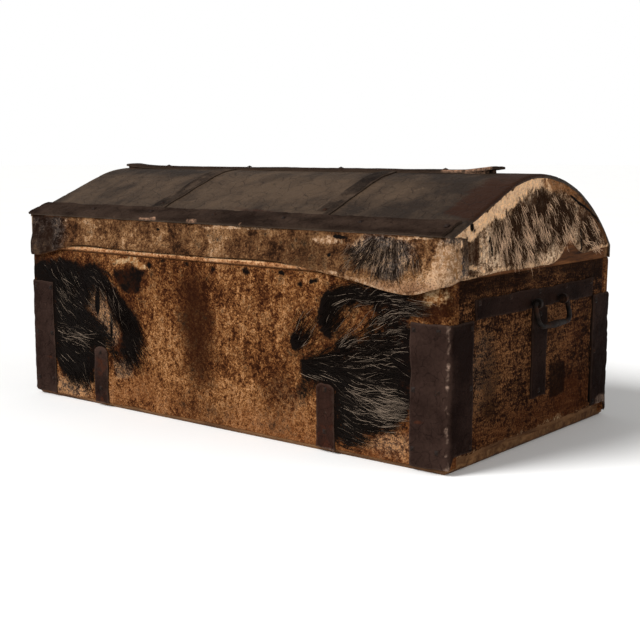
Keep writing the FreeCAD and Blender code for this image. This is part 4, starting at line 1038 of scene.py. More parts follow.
@dataclass
class FrontHair:
    """Where hair is left on the front, which way it lies, and its locks."""

    skin_y: float = -231.0
    seed: int = 5
    left_mass: Places = (
        (-419, 214), (-393, 229), (-345, 234), (-265, 237), (-232, 226), (-222, 209), (-191, 182),
        (-160, 156),
        (-155, 121), (-168, 87), (-194, 95), (-238, 90), (-261, 72), (-266, 38), (-303, 41), (-349, 47),
        (-372, 75),
        (-378, 129), (-380, 152), (-397, 173), (-417, 195),
    )
    left_slit: Places = (
        (-256, 201), (-231, 197), (-232, 175), (-203, 145), (-193, 128), (-205, 101), (-235, 96), (-242, 123),
        (-264, 147), (-291, 163), (-293, 182),
    )
    right_mass: Places = (
        (216, 226), (245, 235), (282, 235), (344, 230), (357, 214), (366, 164), (366, 74), (355, 61),
        (315, 48),
        (269, 33), (245, 14), (236, 16), (238, 74), (236, 93), (207, 95), (187, 99), (177, 113), (180, 129),
        (207, 136),
        (231, 142), (236, 158), (219, 164), (204, 181), (211, 201),
    )
    right_bare: Places = (
        (235, 203), (263, 213), (300, 212), (304, 198), (277, 177), (254, 156), (231, 154), (236, 173),
    )

    def cover(self, x: Array, z: Array) -> Array:
        """Share of hair: a ragged outline for each mass, less the bare places in it, and some loose spots."""
        x, z = shaken(x, z, 8, self.seed + 30)
        thin = 0.52 * spot(x, z, (288, 178), (48, 34), 0.8, 24)
        return greatest(
            blot(x, z, self.left_mass, 8) * (1 - 0.9 * blot(x, z, self.left_slit, 7)),
            blot(x, z, self.right_mass, 8) * (1 - np.maximum(0.85 * blot(x, z, self.right_bare, 10), thin)),
            most(x, z, (1.0, (170, 154), (11, 14)), (0.55, (165, 175), (8, 7)), (0.4, (186, 84), (18, 16))),
        )

    def fringe(self, x: Array, z: Array) -> Array:
        """Wider, softer share of hair: the mean of the cover at eight places round about."""
        turns = np.arange(8) * math.pi / 4
        return np.mean([self.cover(x + 15 * math.cos(t), z + 15 * math.sin(t)) for t in turns], axis=0)

    def bleached_and_glinting(self, x: Array, z: Array) -> Array:
        """Share of pale strands, which are painted glints: few, but more where the sweep of the hair catches
        the light.
        """
        shine = most(
            x, z, (0.8, (310, 178), (54, 28), 0.8, 22), (0.8, (300, 82), (56, 22), 0.8, -8),
            (0.6, (232, 150), (24, 9), 0.8, 8), (0.6, (186, 86), (30, 20), 0.8),
            (0.7, (-328, 114), (30, 12), 0.8, -4), (0.25, (-352, 190), (34, 30), 0.8, -30),
            (0.3, (-240, 180), (24, 34), 0.8, 30),
        )
        # The pale strands here stand for painted highlights along the hair.
        return np.where(x < 0, 0.02, 0.05) + shine * (0.52 + 0.9 * drift(x, z, 17, self.seed + 8, 2))

    def heading(self, x: Array, z: Array) -> Array:
        """Angle of the hair's lie: on the right it fans out from a point, on the left it falls across."""
        right = np.interp(z, [20, 45, 80, 110, 140, 170, 200, 230], [14, 6, -4, -3, 6, 20, 24, 4])
        spread = np.interp(z, [40, 80, 115, 145, 200, 225], [-9, -9, 0, 15, 17, 4])
        left = np.interp(z, [30, 80, 110, 150, 190, 230], [-44, -26, -8, -34, -42, -30])
        left = np.where(x > -225, -52, left)
        turn = 0.3 * drift(x, z, 52, self.seed + 3, 2) + 0.24 * drift(x, z, 15, self.seed + 4, 2)
        return np.radians(np.where(x > 0, right + spread * (300 - x) / 60, left)) + turn

    def free(self, u: Array, v: Array) -> Array:
        """Whether places are clear of the straps, the lid's flap and the floor."""
        stubs = ((np.abs(u + 246) < 17) | (np.abs(u - 222) < 17)) & (v < 99)
        return ((np.abs(u) < 364) | ((v > 203) & (np.abs(u) < 404))) & (v > 9) & (v < 247) & ~stubs

    def lie(self, u: Array, v: Array, lift: Array) -> Array:
        """Points over the flat front."""
        return np.stack([u, self.skin_y - lift, v], -1)

    def build(self, finishes: Finishes) -> None:
        """Locks of both masses, as two pieces on the case."""
        for name, low, high, count, length in (
            ("front_hair_left", -404, -140, 5400, (14, 44)), ("front_hair_right", 140, 366, 5600, (18, 58)),
        ):
            rng = np.random.default_rng(self.seed + count)
            x = rng.uniform(low, high, count * 9)
            z = rng.uniform(12, 244, count * 9)
            dense = 0.7 * self.cover(x, z) + 0.4 * self.fringe(x, z)
            dense = dense + 0.4 * drift(x, z, 16, self.seed, 3) - 0.1
            keep = np.flatnonzero(rng.uniform(0.2, 1, len(x)) < dense)[:count]
            piece = locks(
                name, np.stack([x[keep], z[keep]], -1), self.heading, self.lie, rng, length, (0.2, 0.46),
                (0.6, 3.0),
                self.bleached_and_glinting, (0.6, 0.97), self.free,
            )
            settle(piece, Body.CASE, Stuff.HIDE, finishes.black_hair)


@dataclass
class CaseHides:
    """Hide panels on the case: front and back lap round the corners, and the ends lie between them."""

    half_x: float = 420.0
    half_y: float = 231.0
    radius: float = 9.0
    lap: float = 24.0
    top: float = 250.0
    front_hem: float = 5.0
    end_hem: float = 21.0
    thick: float = 1.9
    step: float = 3.0
    rows: int = 83
    end_rows: int = 78
    smudge: Places = ((-216, 227), (-137, 231), (-154, 196), (-191, 190), (-211, 210))
    dull: Places = ((-216, 85), (-168, 87), (-175, 53), (-212, 49))
    scar: Places = ((42, 110), (88, 106), (90, 60), (44, 57))
    nail_stains: Places = (
        (-131, 243), (-45, 246), (6, 243), (76, 243), (201, 242), (-95, 246), (140, 243), (172, 230),
    )

    def build(self, finishes: Finishes, hair: FrontHair) -> None:
        """All four panels."""
        self.wrap("front_hide", -1, finishes, hair)
        self.wrap("back_hide", 1, finishes, hair)
        for end in End:
            self.end_panel(end, finishes)

    def wrap(self, node: str, side: int, finishes: Finishes, hair: FrontHair) -> None:
        """Front or back panel: the plan line carried up from a wavy hem, shrunk and swollen by clouds."""
        line, _, s = wrap_line(self.half_x, self.half_y, self.radius, self.lap, self.lap, self.step)
        i, t = grid(np.arange(len(s)), np.linspace(0, 1, self.rows))
        k = i.astype(int)
        s = s[k]
        seed = 11 if side < 0 else 71
        hem = self.front_hem + 2.2 + 2.4 * wander(s, 55, seed)
        z = hem + t * (self.top - hem)
        surface = np.stack([line[k, 0], -side * line[k, 1], z], -1)
        marks = self.front_marks(s, z, hair) if side < 0 else self.back_marks(s, z)
        rise = 0.45 * drift(s, z, 60, seed + 1) + 0.3 * drift(s, z, 12, seed + 2, 3) + marks.pop("swell", 0.0)
        piece = sheet("worn_" + node, surface, rise, self.thick, marks)
        settle(piece, Body.CASE, Stuff.HIDE, finishes.front_hide, node)

    def front_marks(self, flat_x: Array, flat_z: Array, hair: FrontHair) -> Marks:
        """Stains, bleached gold, tears, slits and the stubble under the hair, each placed as on the front."""
        mass = hair.cover(flat_x, flat_z)
        fringe = hair.fringe(flat_x, flat_z)
        x, z = shaken(flat_x, flat_z, 9, 25)
        smudge = blot(x, z, self.smudge, 8)
        dull = blot(x, z, self.dull, 12)
        nails = most(x, z, *((1.0, at, (5.5, 4.5), 0.6) for at in self.nail_stains))
        stain_and_shade = most(
            x, z, (0.95, (-28, 150), (36, 92), 0.8, 3), (0.35, (-120, 205), (44, 40), 0.8),
            (0.55, (130, 60), (40, 50), 0.9), (0.5, (-20, 30), (60, 30), 0.9),
            (0.75, (396, 222), (40, 26), 0.6),
            (0.8, (-404, 222), (26, 26), 0.6),
        )
        grey = most(
            x, z, (0.85, (-322, 24), (56, 24), 0.8), (0.35, (150, 62), (50, 40), 0.9),
            (0.6, (334, 30), (46, 24), 0.8),
        )
        light = summed(
            x, z, (0.1, (112, 188), (104, 56), 0.7, 6), (0.85, (10, 34), (330, 38), 0.9),
            (0.4, (166, 198), (32, 34), 0.8), (0.6, (-95, 120), (48, 70), 0.8), (-0.3, (255, 190), (24, 22)),
        )
        red = 0.7 * ease(120, 20, z) * ease(-380, -120, x) + 0.35 * drift(x, z, 120, 31)
        pale = most(
            x, z, (1.0, (-198, 243), (20, 4), 0.35, -6), (1.0, (-157, 240), (20, 7.5), 0.35, -14),
            (0.6, (-230, 104), (12, 9), 0.6, -50), (0.3, (-246, 150), (7, 60), 0.5, 26),
            (0.55, (402, 232), (22, 14), 0.6),
        )
        red = np.maximum(red, 0.6 * spot(x, z, (-150, 40), (110, 34), 0.8))
        x2, z2 = shaken(flat_x, flat_z, 1.5, 26)
        cut = most(
            x2, z2, (1.0, (-253, 171), (6.2, 21), 0.25, -3), (1.0, (-220, 130), (3.6, 17), 0.3, -2),
            (1.0, (172, 153), (4, 4)), (1.0, (221, 183), (4, 5)),
        )
        lips = summed(x2, z2, (1.0, (-253, 171), (10, 26), 0.4, -3), (1.0, (-220, 130), (8, 21), 0.4, -2))
        return {
            "hair": greatest(mass, 0.45 * fringe, 0.7 * smudge, nails),
            "stain_and_shade": greatest(stain_and_shade, 0.75 * fringe, 1.1 * smudge, 0.4 * dull),
            "grey": greatest(grey, 0.5 * smudge, 0.9 * dull, 0.7 * blot(x, z, hair.left_slit, 10)),
            "light": light, "red": red, "pale": pale, "cut": cut,
            "swell": 0.9 * mass + 0.9 * lips - 2.4 * cut,
        }

    def back_marks(self, x: Array, z: Array) -> Marks:
        """Quieter back: a few stains, worn gold in the middle, and thin patches of stubble."""
        x, z = shaken(x, z, 14, 95)
        dark = most(
            x, z, (1.0, (300, 120), (60, 46), 0.6, 20), (1.0, (-290, 90), (48, 60), 0.6, -10),
            (0.8, (60, 205), (70, 20), 0.8),
        )
        return {
            "hair": 0.75 * dark,
            "stain_and_shade": 0.7 * spot(x, z, (20, 100), (70, 80), 0.9) + 0.4 * ease(200, 250, z),
            "light": 0.5 * spot(x, z, (-90, 150), (100, 60), 0.8),
            "red": 0.5 * ease(110, 15, z) + 0.3 * drift(x, z, 110, 91),
        }

    def end_panel(self, end: End, finishes: Finishes) -> None:
        """End panel: a flat grid with a frayed hem, rust low down, gold patches and, on the right, cracks."""
        sign = end.value
        lap = self.half_y - self.lap + 0.5
        y, t = grid(steps(-lap, lap, self.step), np.linspace(0, 1, self.end_rows))
        hem = self.end_hem - 1 + 4.5 * wander(y, 34, 45 + sign)
        z = hem + t * (self.top - hem)
        surface = np.stack([np.full_like(y, sign * self.half_x), y, z], -1)
        rise = 0.5 * drift(y, z, 50, 46 + sign) + 0.45 * drift(y * 0.4, z, 9, 47 + sign, 3)
        near = shaken(y, z, 2.5, 52)
        y, z = shaken(y, z, 12, 50 + sign)
        cut = 0.9 * (stroke(*near, (173, 196), (172, 30), 2.6) + stroke(*near, (181, 120), (178, 30), 3.0))
        cut = np.clip(cut, 0, 1) * (sign > 0)
        light = summed(
            y, z, (0.6, (-92, 150), (40, 22), 0.9, 20), (0.6, (-84, 112), (40, 20), 0.9, 35),
            (0.3, (120, 130), (40, 50), 0.9), (0.4, (40, 185), (60, 18), 0.9),
        )
        stain_and_shade = summed(y, z, (0.6, (-130, 110), (26, 60), 0.8), (0.3, (-60, 60), (70, 20), 0.9))
        red = 0.65 * ease(110, 30, z) + 0.4 * ease(222, 246, z) + 0.5 * spot(y, z, (100, 120), (70, 90), 0.8)
        marks = {
            "stain_and_shade": stain_and_shade + 0.6 * ease(215, 240, z) + 1.3 * blot(*near, self.scar, 5) * (sign > 0),
            "light": light + 0.45 * ease(34, 22, z) + 0.5 * ease(80, 50, z) - 0.12,
            "red": red + 0.3 * drift(y, z, 80, 48), "pale": 0.5 * ease(27, 20, z), "cut": cut,
            "grey": 0.55 * spot(y, z, (-145, 128), (40, 62), 0.8),
        }
        node = end.label + "_end_hide"
        piece = sheet("worn_" + node, surface, rise - 1.2 * cut, self.thick, marks)
        settle(piece, Body.CASE, Stuff.HIDE, finishes.end_hide, node)


@dataclass
class CaseStraps:
    """Leather on the case: angles round the corners, stubs on the front, and bands and straps on the ends."""

    strap_x: float = 423.0
    strap_y: float = 234.0
    radius: float = 12.0
    leg: float = 60.0
    top: float = 196.0
    thick: float = 2.9
    foot: float = 5.0
    end_foot: float = 21.0
    step: float = 3.0
    rows: int = 66
    stub_size: tuple = (92.0, 32.0)

    def build(self, finishes: Finishes) -> None:
        """Every strap of the case."""
        for end in End:
            for side in (-1, 1):
                self.corner(end, side, finishes)
            self.on_end(end, "end_band", (0.0, 209.5), (340.0, 27.0), True, finishes)
            self.on_end(end, "end_strap", (4.5, 131.0), (128.0, 43.0), False, finishes)
        self.front_stub("left", -246.0, 3, finishes.strap)
        self.front_stub("right", 222.0, 4, finishes.red_strap)

    def corner(self, end: End, side: int, finishes: Finishes) -> None:
        """Corner angle: a plan line round the corner carried up, its edges wavering, its fold rubbed and its
        leg on the end painted darker as shade.
        """
        sign, seed = end.value, 100 + 7 * end.value + side
        turn = np.linspace(0, math.pi / 2, 9)
        cx, cy = self.strap_x - self.radius, self.strap_y - self.radius
        flat = self.leg - self.radius
        front = steps(-flat, 0, self.step)[:-1]
        back = steps(0, flat, self.step)[1:]
        px = np.concatenate([cx + front, cx + self.radius * np.sin(turn), np.full(len(back), self.strap_x)])
        py = np.concatenate([np.full(len(front), self.strap_y), cy + self.radius * np.cos(turn), cy - back])
        s = walked(px, py)
        fold = s[len(front) + 4]
        i, t = grid(np.arange(len(s)), np.linspace(0, 1, self.rows))
        k = i.astype(int)
        s = s[k]
        low = self.foot + (self.end_foot - self.foot) * ease(fold + 3, fold + 14, s)
        low = low + 2.2 * wander(s, 22, seed) + 1.5
        high = self.top + 2.0 * wander(s, 24, seed + 1, row=50)
        z = low + t * (high - low)
        wave = 3.0 * drift(z, 30 * np.sign(s - fold), 34, seed + 2, 5) * (np.abs(s - fold) / fold) ** 3
        x = px[k] + np.where(s < fold, wave, 0.0)
        y = py[k] + np.where(s < fold, 0.0, wave)
        surface = np.stack([sign * x, side * y, z], -1)
        rise = 1.0 * drift(s, z, 34, seed + 3) + 0.4 * drift(s, z, 8, seed + 4, 3)
        rise = rise - 0.8 * creases(s, z * 1.6, 30, seed + 9)
        rub = np.exp(-(((s - fold) / 5.0) ** 2))
        pale = 0.35 * ease(16, 6, z) + 0.55 * rub * (0.85 + 1.2 * drift(s, z, 9, seed + 8, 4))
        if side > 0:
            pale = np.maximum(pale, 0.6 * spot(s, z, (fold + 22, 26), (24, 14), 0.6))
        light = 1.1 * rub * (0.6 + 0.6 * drift(s * 0.3, z, 20, seed + 5))
        marks = {
            # Painted shade: the leg on the end is darker than the leg on the front.
            "light": light - 0.45 * ease(fold, fold + 10, s),
            "red": 0.5 * spot(s, z, (14, 66), (10, 3), turn=8) + 0.2 * drift(s, z, 60, seed + 6),
            "pale": pale,
        }
        node = "corner_strap_" + ("front_" if side < 0 else "back_") + end.label
        piece = sheet("worn_" + node, surface, rise, self.thick, marks, 1.1)
        settle(piece, Body.CASE, Stuff.LEATHER, finishes.strap, node)

    def front_stub(self, name: str, x0: float, seed: int, finish: bpy.types.Material) -> None:
        """Stub on the front: a strip with a rounded top, thin and wavering."""
        tall, wide = self.stub_size
        a, c = ragged(tall, wide, 2.5, 2.2, 200 + seed)
        z = self.foot + 0.8 + a - 7.0 * ease(tall - 8, tall, a) * (np.abs(c) / (wide / 2)) ** 3
        surface = np.stack([x0 + c, np.full_like(c, -self.strap_y), z], -1)
        rise = 0.5 * drift(c, a, 20, seed + 1) - 0.7 * stroke(c, a, (-3, 6), (-2, 86), 2.0)
        marks = {
            "light": 0.5 * ease(84, 92, a), "red": 0.35 + 0.5 * drift(c, a, 30, seed + 2),
            "pale": 0.5 * ease(7, 0, a) + 0.4 * spot(c, a, (3, 52), (5, 3)),
        }
        node = "front_strap_" + name
        piece = sheet("worn_" + node, surface, rise, self.thick, marks, 1.0)
        settle(piece, Body.CASE, Stuff.LEATHER, finish, node)

    def on_end(self, end: End, kind: str, at: tuple, size: tuple, level: bool, finishes: Finishes) -> None:
        """Band or strap on an end: a flat strip with wavering edges.

        Args:
            end: Which end.
            kind: The last words of its name.
            at: Its middle, in depth and height.
            size: Its length and width.
            level: Whether it lies level or hangs.
            finishes: All finishes.
        """
        sign = end.value
        seed = 300 + 5 * sign + int(level)
        a, c = ragged(*size, 3.0, 3.0, seed)
        a = a - size[0] / 2
        y, z = (at[0] + a, at[1] + c) if level else (at[0] + c, at[1] + a)
        surface = np.stack([np.full_like(a, sign * self.strap_x), y, z], -1)
        rise = 0.5 * drift(a, c, 26, seed + 1)
        marks = {"light": 0.1 * drift(a, c, 40, seed + 2), "red": 0.3 * drift(a, c, 50, seed + 3)}
        node = end.label + "_" + kind
        piece = sheet("worn_" + node, surface, rise, self.thick, marks, 1.0)
        settle(piece, Body.CASE, Stuff.LEATHER, finishes.end_strap, node)


@dataclass
class LidFlap:
    """Hide on the lid's front: it flares over the bead, bellies on the right and wraps both corners."""

    half_x: float = 420.0
    half_y: float = 231.0
    radius: float = 8.0
    top: float = 306.5
    thick: float = 1.8
    lap_left: float = 22.0
    lap_right: float = 40.0
    step: float = 3.0
    rows: int = 34
    hem: Places = (
        (-450, 245), (-421, 240.5), (-388, 241.5), (-348, 250), (-312, 259.5), (-200, 260.3), (0, 260.2),
        (150, 260),
        (182, 256), (229, 250), (280, 243), (330, 233.5), (369, 232), (407, 243), (430, 250), (470, 253),
    )

    def out(self, s: Array, z: Array) -> Array:
        """How far the hide stands off the lid's front: a flare over the bead and a belly on the right."""
        front = 1.0 - ease(409, 424, np.abs(s))
        flare = 5.6 * ease(280, 259.5, z) * front
        belly = summed(s, z, (3.6, (345, 252), (88, 32), 0.9), (1.6, (-395, 252), (50, 26), 0.9))
        lobe = 2.4 * spot(s, z, (424, 272), (26, 30), 0.8)
        return flare + belly * front + lobe + 1.2 * (1 - front)

    def build(self, finishes: Finishes) -> None:
        """The hide and its fan of hair."""
        line, normal, s = wrap_line(
            self.half_x, self.half_y, self.radius, self.lap_left, self.lap_right, self.step,
        )
        i, t = grid(np.arange(len(s)), np.linspace(0, 1, self.rows))
        k = i.astype(int)
        lap = ease(s[-1] - 26, s[-1], s[k])
        s = s[k]
        hem = through(s, self.hem) + 0.9 * wander(s, 26, 401)
        top = self.top + 0.5 * wander(s, 30, 402, row=9)
        z = hem + t * (top - hem)
        off = self.out(s, z)
        frayed = 5 * wander(t * 70, 18, 404)
        surface = np.stack([
            line[k, 0] + normal[k, 0] * off, line[k, 1] + normal[k, 1] * off + frayed * lap, z,
        ], -1)
        crumple = creases(s, z * 0.5, 15, 405) * spot(s, z, (430, 276), (34, 40), 0.8)
        wave = np.cos((s + 0.45 * (z - 270) + 6 * drift(s, z, 26, 408, 2)) * 2 * math.pi / 16)
        wave = wave * spot(s, z, (422, 272), (32, 38), 0.8)
        fan = self.fan(s, z)
        rise = 0.5 * drift(s, z, 40, 406) + 0.35 * drift(s, z, 10, 407, 3)
        rise = rise - 2.0 * crumple + 1.6 * wave + 0.6 * fan
        marks = self.marks(s, z, fan, crumple)
        # Painted highlight: the crests of the ripples at the right corner are painted lighter.
        marks["light"] = marks["light"] + 0.35 * wave
        piece = sheet("worn_lid_front_hide", surface, rise, self.thick, marks)
        settle(piece, Body.LID, Stuff.HIDE, finishes.flap_hide, "lid_front_hide")
        self.hair(finishes)

    def fan(self, s: Array, z: Array) -> Array:
        """Share of hair on the flap."""
        s, z = shaken(s, z, 9, 430)
        return most(s, z, (1.0, (314, 284), (52, 24), 0.6), (1.0, (328, 262), (26, 14), 0.6))

    def marks(self, s: Array, z: Array, fan: Array, crumple: Array) -> Marks:
        """Grey-brown at the left, gold in the middle, dark fan, pinkish belly and a pale corner whose
        crumpled creases are painted dark as shade.
        """
        s, z = shaken(s, z, 5, 420)
        left = ease(-290, -400, s)
        belly = ease(262, 240, z) * ease(200, 300, s) * ease(470, 420, s)
        light = summed(
            s, z, (0.45, (-120, 285), (160, 16), 0.8), (0.2, (214, 293), (22, 9), 0.9),
            (0.9, (420, 268), (34, 34), 0.6), (0.5, (396, 258), (30, 22), 0.8),
            (0.4, (370, 273), (8, 5), 0.8),
        )
        light = light + left * (1.3 * drift(s, z, 13, 412, 4) - 0.3)
        pale = most(
            s, z, (0.8, (45, 304), (74, 2.6), 0.6), (0.8, (365, 304.5), (46, 2.6)),
            (0.85, (420, 274), (22, 30), 0.8),
            (0.7, (222, 296), (26, 5), 0.7), (0.5, (-330, 297), (8, 6), 0.7),
        )
        stain_and_shade = summed(
            s, z, (0.55, (205, 274), (56, 24), 0.9), (0.25, (60, 280), (90, 22), 0.9),
            (0.6, (-372, 268), (10, 22), 0.7, 8), (0.9, (446, 288), (14, 24), 0.8),
        )
        holes = most(
            s, z, (1.0, (-108, 296), (3.5, 2.4)), (1.0, (226, 276), (3, 3)), (1.0, (248, 300), (14, 1.6)),
        )
        hem = through(s, self.hem)
        stain_and_shade = stain_and_shade + 0.75 * left + 0.35 * ease(300, 307, z)
        return {
            "hair": 0.1 * fan,
            "stain_and_shade": stain_and_shade + 0.15 * fan + 0.3 * drift(s, z, 60, 414, 4),
            "light": light + 0.85 * belly + 0.7 * drift(s, 1.6 * z, 34, 413, 4),
            "red": 0.8 * belly + 0.3 * drift(s, z, 90, 411),
            "pale": greatest(
                pale, 0.5 * belly * ease(238, 232, z - 0.06 * np.abs(s - 350)),
                0.62 * ease(6, 2, z - hem) * ease(170, 230, s),
            ),
            # Holes, and painted shade in the creases of the crumpled corner.
            "cut": np.maximum(holes, 0.45 * crumple),
            "grey": np.maximum(1.3 * left, ease(395, 425, s) + 0.9 * fan),
        }

    def bleached_and_glinting(self, s: Array, z: Array) -> Array:
        """Share of pale strands in the fan, most of them at its right."""
        return 0.2 + 0.35 * ease(360, 400, s) + 0.35 * drift(s, z, 14, 440, 2)

    def heading(self, u: Array, v: Array) -> Array:
        """Angle of the fan's hair, away from a point above it."""
        return np.arctan2(v - 350, u - 328) + 0.3 * drift(u, v, 30, 19, 3)

    def lie(self, u: Array, v: Array, lift: Array) -> Array:
        """Points over the flap's front."""
        return np.stack([u, -self.half_y - self.out(u, v) - 0.4 - lift, v], -1)

    def hair(self, finishes: Finishes) -> None:
        """Fan of hair on the right: locks that hang down and spread from the middle."""
        rng = np.random.default_rng(17)
        s, z = rng.uniform(250, 400, 9000), rng.uniform(256, 305, 9000)
        dense = self.fan(s, z) + 0.5 * drift(s, z, 12, 18, 3) - 0.1
        keep = np.flatnonzero(rng.uniform(0.2, 1, len(s)) < dense)[:680]
        piece = locks(
            "lid_flap_hair", np.stack([s[keep], z[keep]], -1), self.heading, self.lie, rng, (8, 22),
            (0.2, 0.45),
            (0.6, 2.4), self.bleached_and_glinting,
        )
        settle(piece, Body.LID, Stuff.HIDE, finishes.flap_hair)


@dataclass
class LidEnds:
    """Hides on the lid's domed ends, wrinkled and torn, with hair left in the middle."""

    half_x: float = 420.0
    half_y: float = 229.0
    thick: float = 1.8
    step: float = 2.0
    rows: int = 62
    right_hem: Places = (
        (-232, 252), (-209, 251), (-104, 255), (7, 254), (52, 257), (70, 266), (84, 281), (98, 285),
        (112, 276),
        (126, 267), (180, 266), (232, 268),
    )
    left_hem: Places = ((-232, 253), (-120, 255), (0, 253.5), (120, 255), (232, 254))

    def build(self, finishes: Finishes) -> None:
        """Both ends and the hair on each."""
        for end in End:
            self.hide(end, finishes)
            self.hair(end, finishes)

    def hairy(self, y: Array, z: Array) -> Array:
        """Share of hair on an end."""
        y, z = shaken(y, z, 16, 530)
        return most(
            y, z, (1.0, (-40, 308), (92, 36), 0.5, 4), (1.0, (30, 330), (62, 28), 0.6, -14),
            (0.7, (150, 296), (40, 22), 0.6, -28),
        )

    def bulge(self, y: Array, z: Array) -> Array:
        """How far the shrunken hide stands off the board."""
        return summed(y, z, (2.4, (-30, 305), (160, 50), 0.9), (1.8, (160, 285), (60, 26), 0.8, -20))

    def hide(self, end: End, finishes: Finishes) -> None:
        """Domed sheet between its hem and the arch, crumpled by ridges that radiate from the lower middle,
        its ridges painted lighter as highlights and its folds darker as shade.
        """
        sign, seed = end.value, 500 + 20 * end.value
        right = sign > 0
        y, t = grid(steps(-self.half_y, self.half_y, self.step), np.linspace(0, 1, self.rows))
        hem = through(y, self.right_hem if right else self.left_hem) + 0.8 * wander(y, 16, seed)
        top = LidLine(0.0).height(y) - 0.6
        z = hem + t * np.maximum(top - hem, 1.0)
        surface = np.stack([np.full_like(y, sign * self.half_x), y, z], -1)
        away = top - z
        spoke, reach = np.arctan2(z - 235, y + 20), np.hypot(z - 235, y + 20)
        folds = creases(spoke * 60, reach * 0.35, 17, seed + 1) + 0.6 * creases(y, z, 26, seed + 2)
        flutes = 0.5 - 1.5 * creases(y + 0.3 * (z - 280), 0.3 * z, 20, seed + 8)
        flutes = flutes * spot(y, z, (-136, 286), (56, 40), 0.8)
        bent = shaken(y, z, 9, seed + 14)
        ridges = stroke(*bent, (-166, 304), (-156, 262), 5) + stroke(*bent, (-146, 312), (-142, 268), 4)
        ridges = ridges + stroke(*bent, (-180, 266), (-118, 257), 5)
        hole = spot(y, z, (-181, 318), (5, 4.5), 0.3) * right
        rise = self.bulge(y, z) - 1.7 * folds + 0.9 * drift(y, z, 24, seed + 3)
        rise = rise + 0.5 * drift(y, z, 7, seed + 4, 3) + 2.4 * flutes + 1.4 * ridges - 1.5 * hole
        hair = self.hairy(y, z)
        tear = 23 + 14 * wander(y, 30, seed + 5)
        strip = 1.52 + 1.3 * drift(y, z, 12, seed + 9, 4) - 0.5 * creases(y, z, 20, seed + 12)
        strip = strip * ease(1.5, 0.5, away / tear) * ease(-228, -205, y)
        torn_edge = ease(4.5, 2, away + 6 * wander(y, 13, seed + 15)) * ease(-205, -180, y) * ease(10, -20, y)
        # Pale torn flesh, with a painted highlight along the raised ridges.
        pale = greatest(
            strip * ease(50, -20, y + 14 * drift(y, z, 10, seed + 10)),
            0.75 * spot(y, z, (-20, 370), (5, 14), 0.6, -8), 0.5 * ease(14, 4, z - hem) * ease(150, 100, y),
            0.6 * ease(9, 3, z - hem) * ease(140, 165, y), 0.5 * ridges,
        )
        light = summed(
            y, z, (0.6, (-138, 282), (46, 40), 0.8), (0.5, (-40, 262), (120, 12), 0.9),
            (0.2, (168, 276), (46, 9), 0.8, -4),
        )
        rim = ease(24, 8, away) * ease(0, 40, y)
        stain_and_shade = summed(y, z, (0.75, (-5, 326), (56, 20), 0.8, -4), (0.5, (60, 300), (40, 36), 0.9))
        stain_and_shade = stain_and_shade + 1.6 * spot(*bent, (-192, 286), (28, 38), 0.6) + 0.45 * rim + 0.3 * ease(90, 140, y)
        red = 0.8 * spot(y, z, (36, 366), (50, 10), 0.8, -8) + 0.35 * ease(170, 210, y)
        line = stroke(y, z, (91, 349), (150, 326), 2.6) + stroke(y, z, (150, 326), (190, 305), 2.4)
        line = line + stroke(y, z, (-139, 302), (-131, 278), 2.6) + stroke(y, z, (120, 299), (129, 268), 3)
        # Painted light: the raised flutes and ridges are painted lighter as highlights, and the sunken folds
        # near-black as shade.
        marks = {
            "hair": 0.12 * hair, "stain_and_shade": stain_and_shade + 0.9 * hair + 0.8 * torn_edge,
            "light": light + 0.35 * drift(y, z, 26, seed + 6) + 1.1 * flutes + 0.7 * ridges,
            "red": np.maximum(red + 0.35 * pale, rim), "pale": pale * (1 - 0.9 * torn_edge),
            "cut": np.clip(hole + line * right + 0.4 * folds * ease(0.3, 0.8, folds), 0, 1),
        }
        node = "lid_" + end.label + "_end_hide"
        piece = sheet("worn_" + node, surface, rise, self.thick, marks, 0.4)
        settle(piece, Body.LID, Stuff.HIDE, finishes.grey_hide, node)

    def bleached_and_glinting(self, y: Array, z: Array) -> Array:
        """Share of pale strands: in clouds, more to the back and fewer in the dark middle."""
        dark = spot(y, z, (-15, 325), (60, 26), 0.9)
        return np.clip(0.3 + 1.6 * drift(y, z, 17, 540, 3) - 0.35 * dark + 0.2 * ease(80, 130, y), 0.03, 0.97)

    def hair(self, end: End, finishes: Finishes) -> None:
        """Locks in the middle of an end: they hang and spread to both sides."""
        sign = end.value
        rng = np.random.default_rng(40 + sign)
        y, z = rng.uniform(-150, 200, 16000), rng.uniform(256, 366, 16000)
        dense = self.hairy(y, z) + 0.5 * drift(y, z, 22, 41 + sign, 3)
        inside = z < LidLine(0.0).height(y) - 14
        keep = np.flatnonzero((rng.uniform(0.25, 1, len(y)) < dense) & inside)[:2900]

        def heading(u: Array, v: Array) -> Array:
            """Angle of this end's hair."""
            turn = 0.4 * drift(u, v, 46, 42 + sign, 2) + 0.3 * drift(u, v, 13, 44, 2)
            return np.radians(-62 + 0.14 * (u + 20)) + turn

        def lie(u: Array, v: Array, lift: Array) -> Array:
            """Points over this end."""
            return np.stack([sign * (self.half_x + self.bulge(u, v) + lift), u, v], -1)

        piece = locks(
            "lid_" + end.label + "_end_hair", np.stack([y[keep], z[keep]], -1), heading, lie, rng, (10, 26),
            (0.22, 0.52), (0.5, 2.2), self.bleached_and_glinting, (0.76, 1.0),
        )
        settle(piece, Body.LID, Stuff.HIDE, finishes.grey_hair)


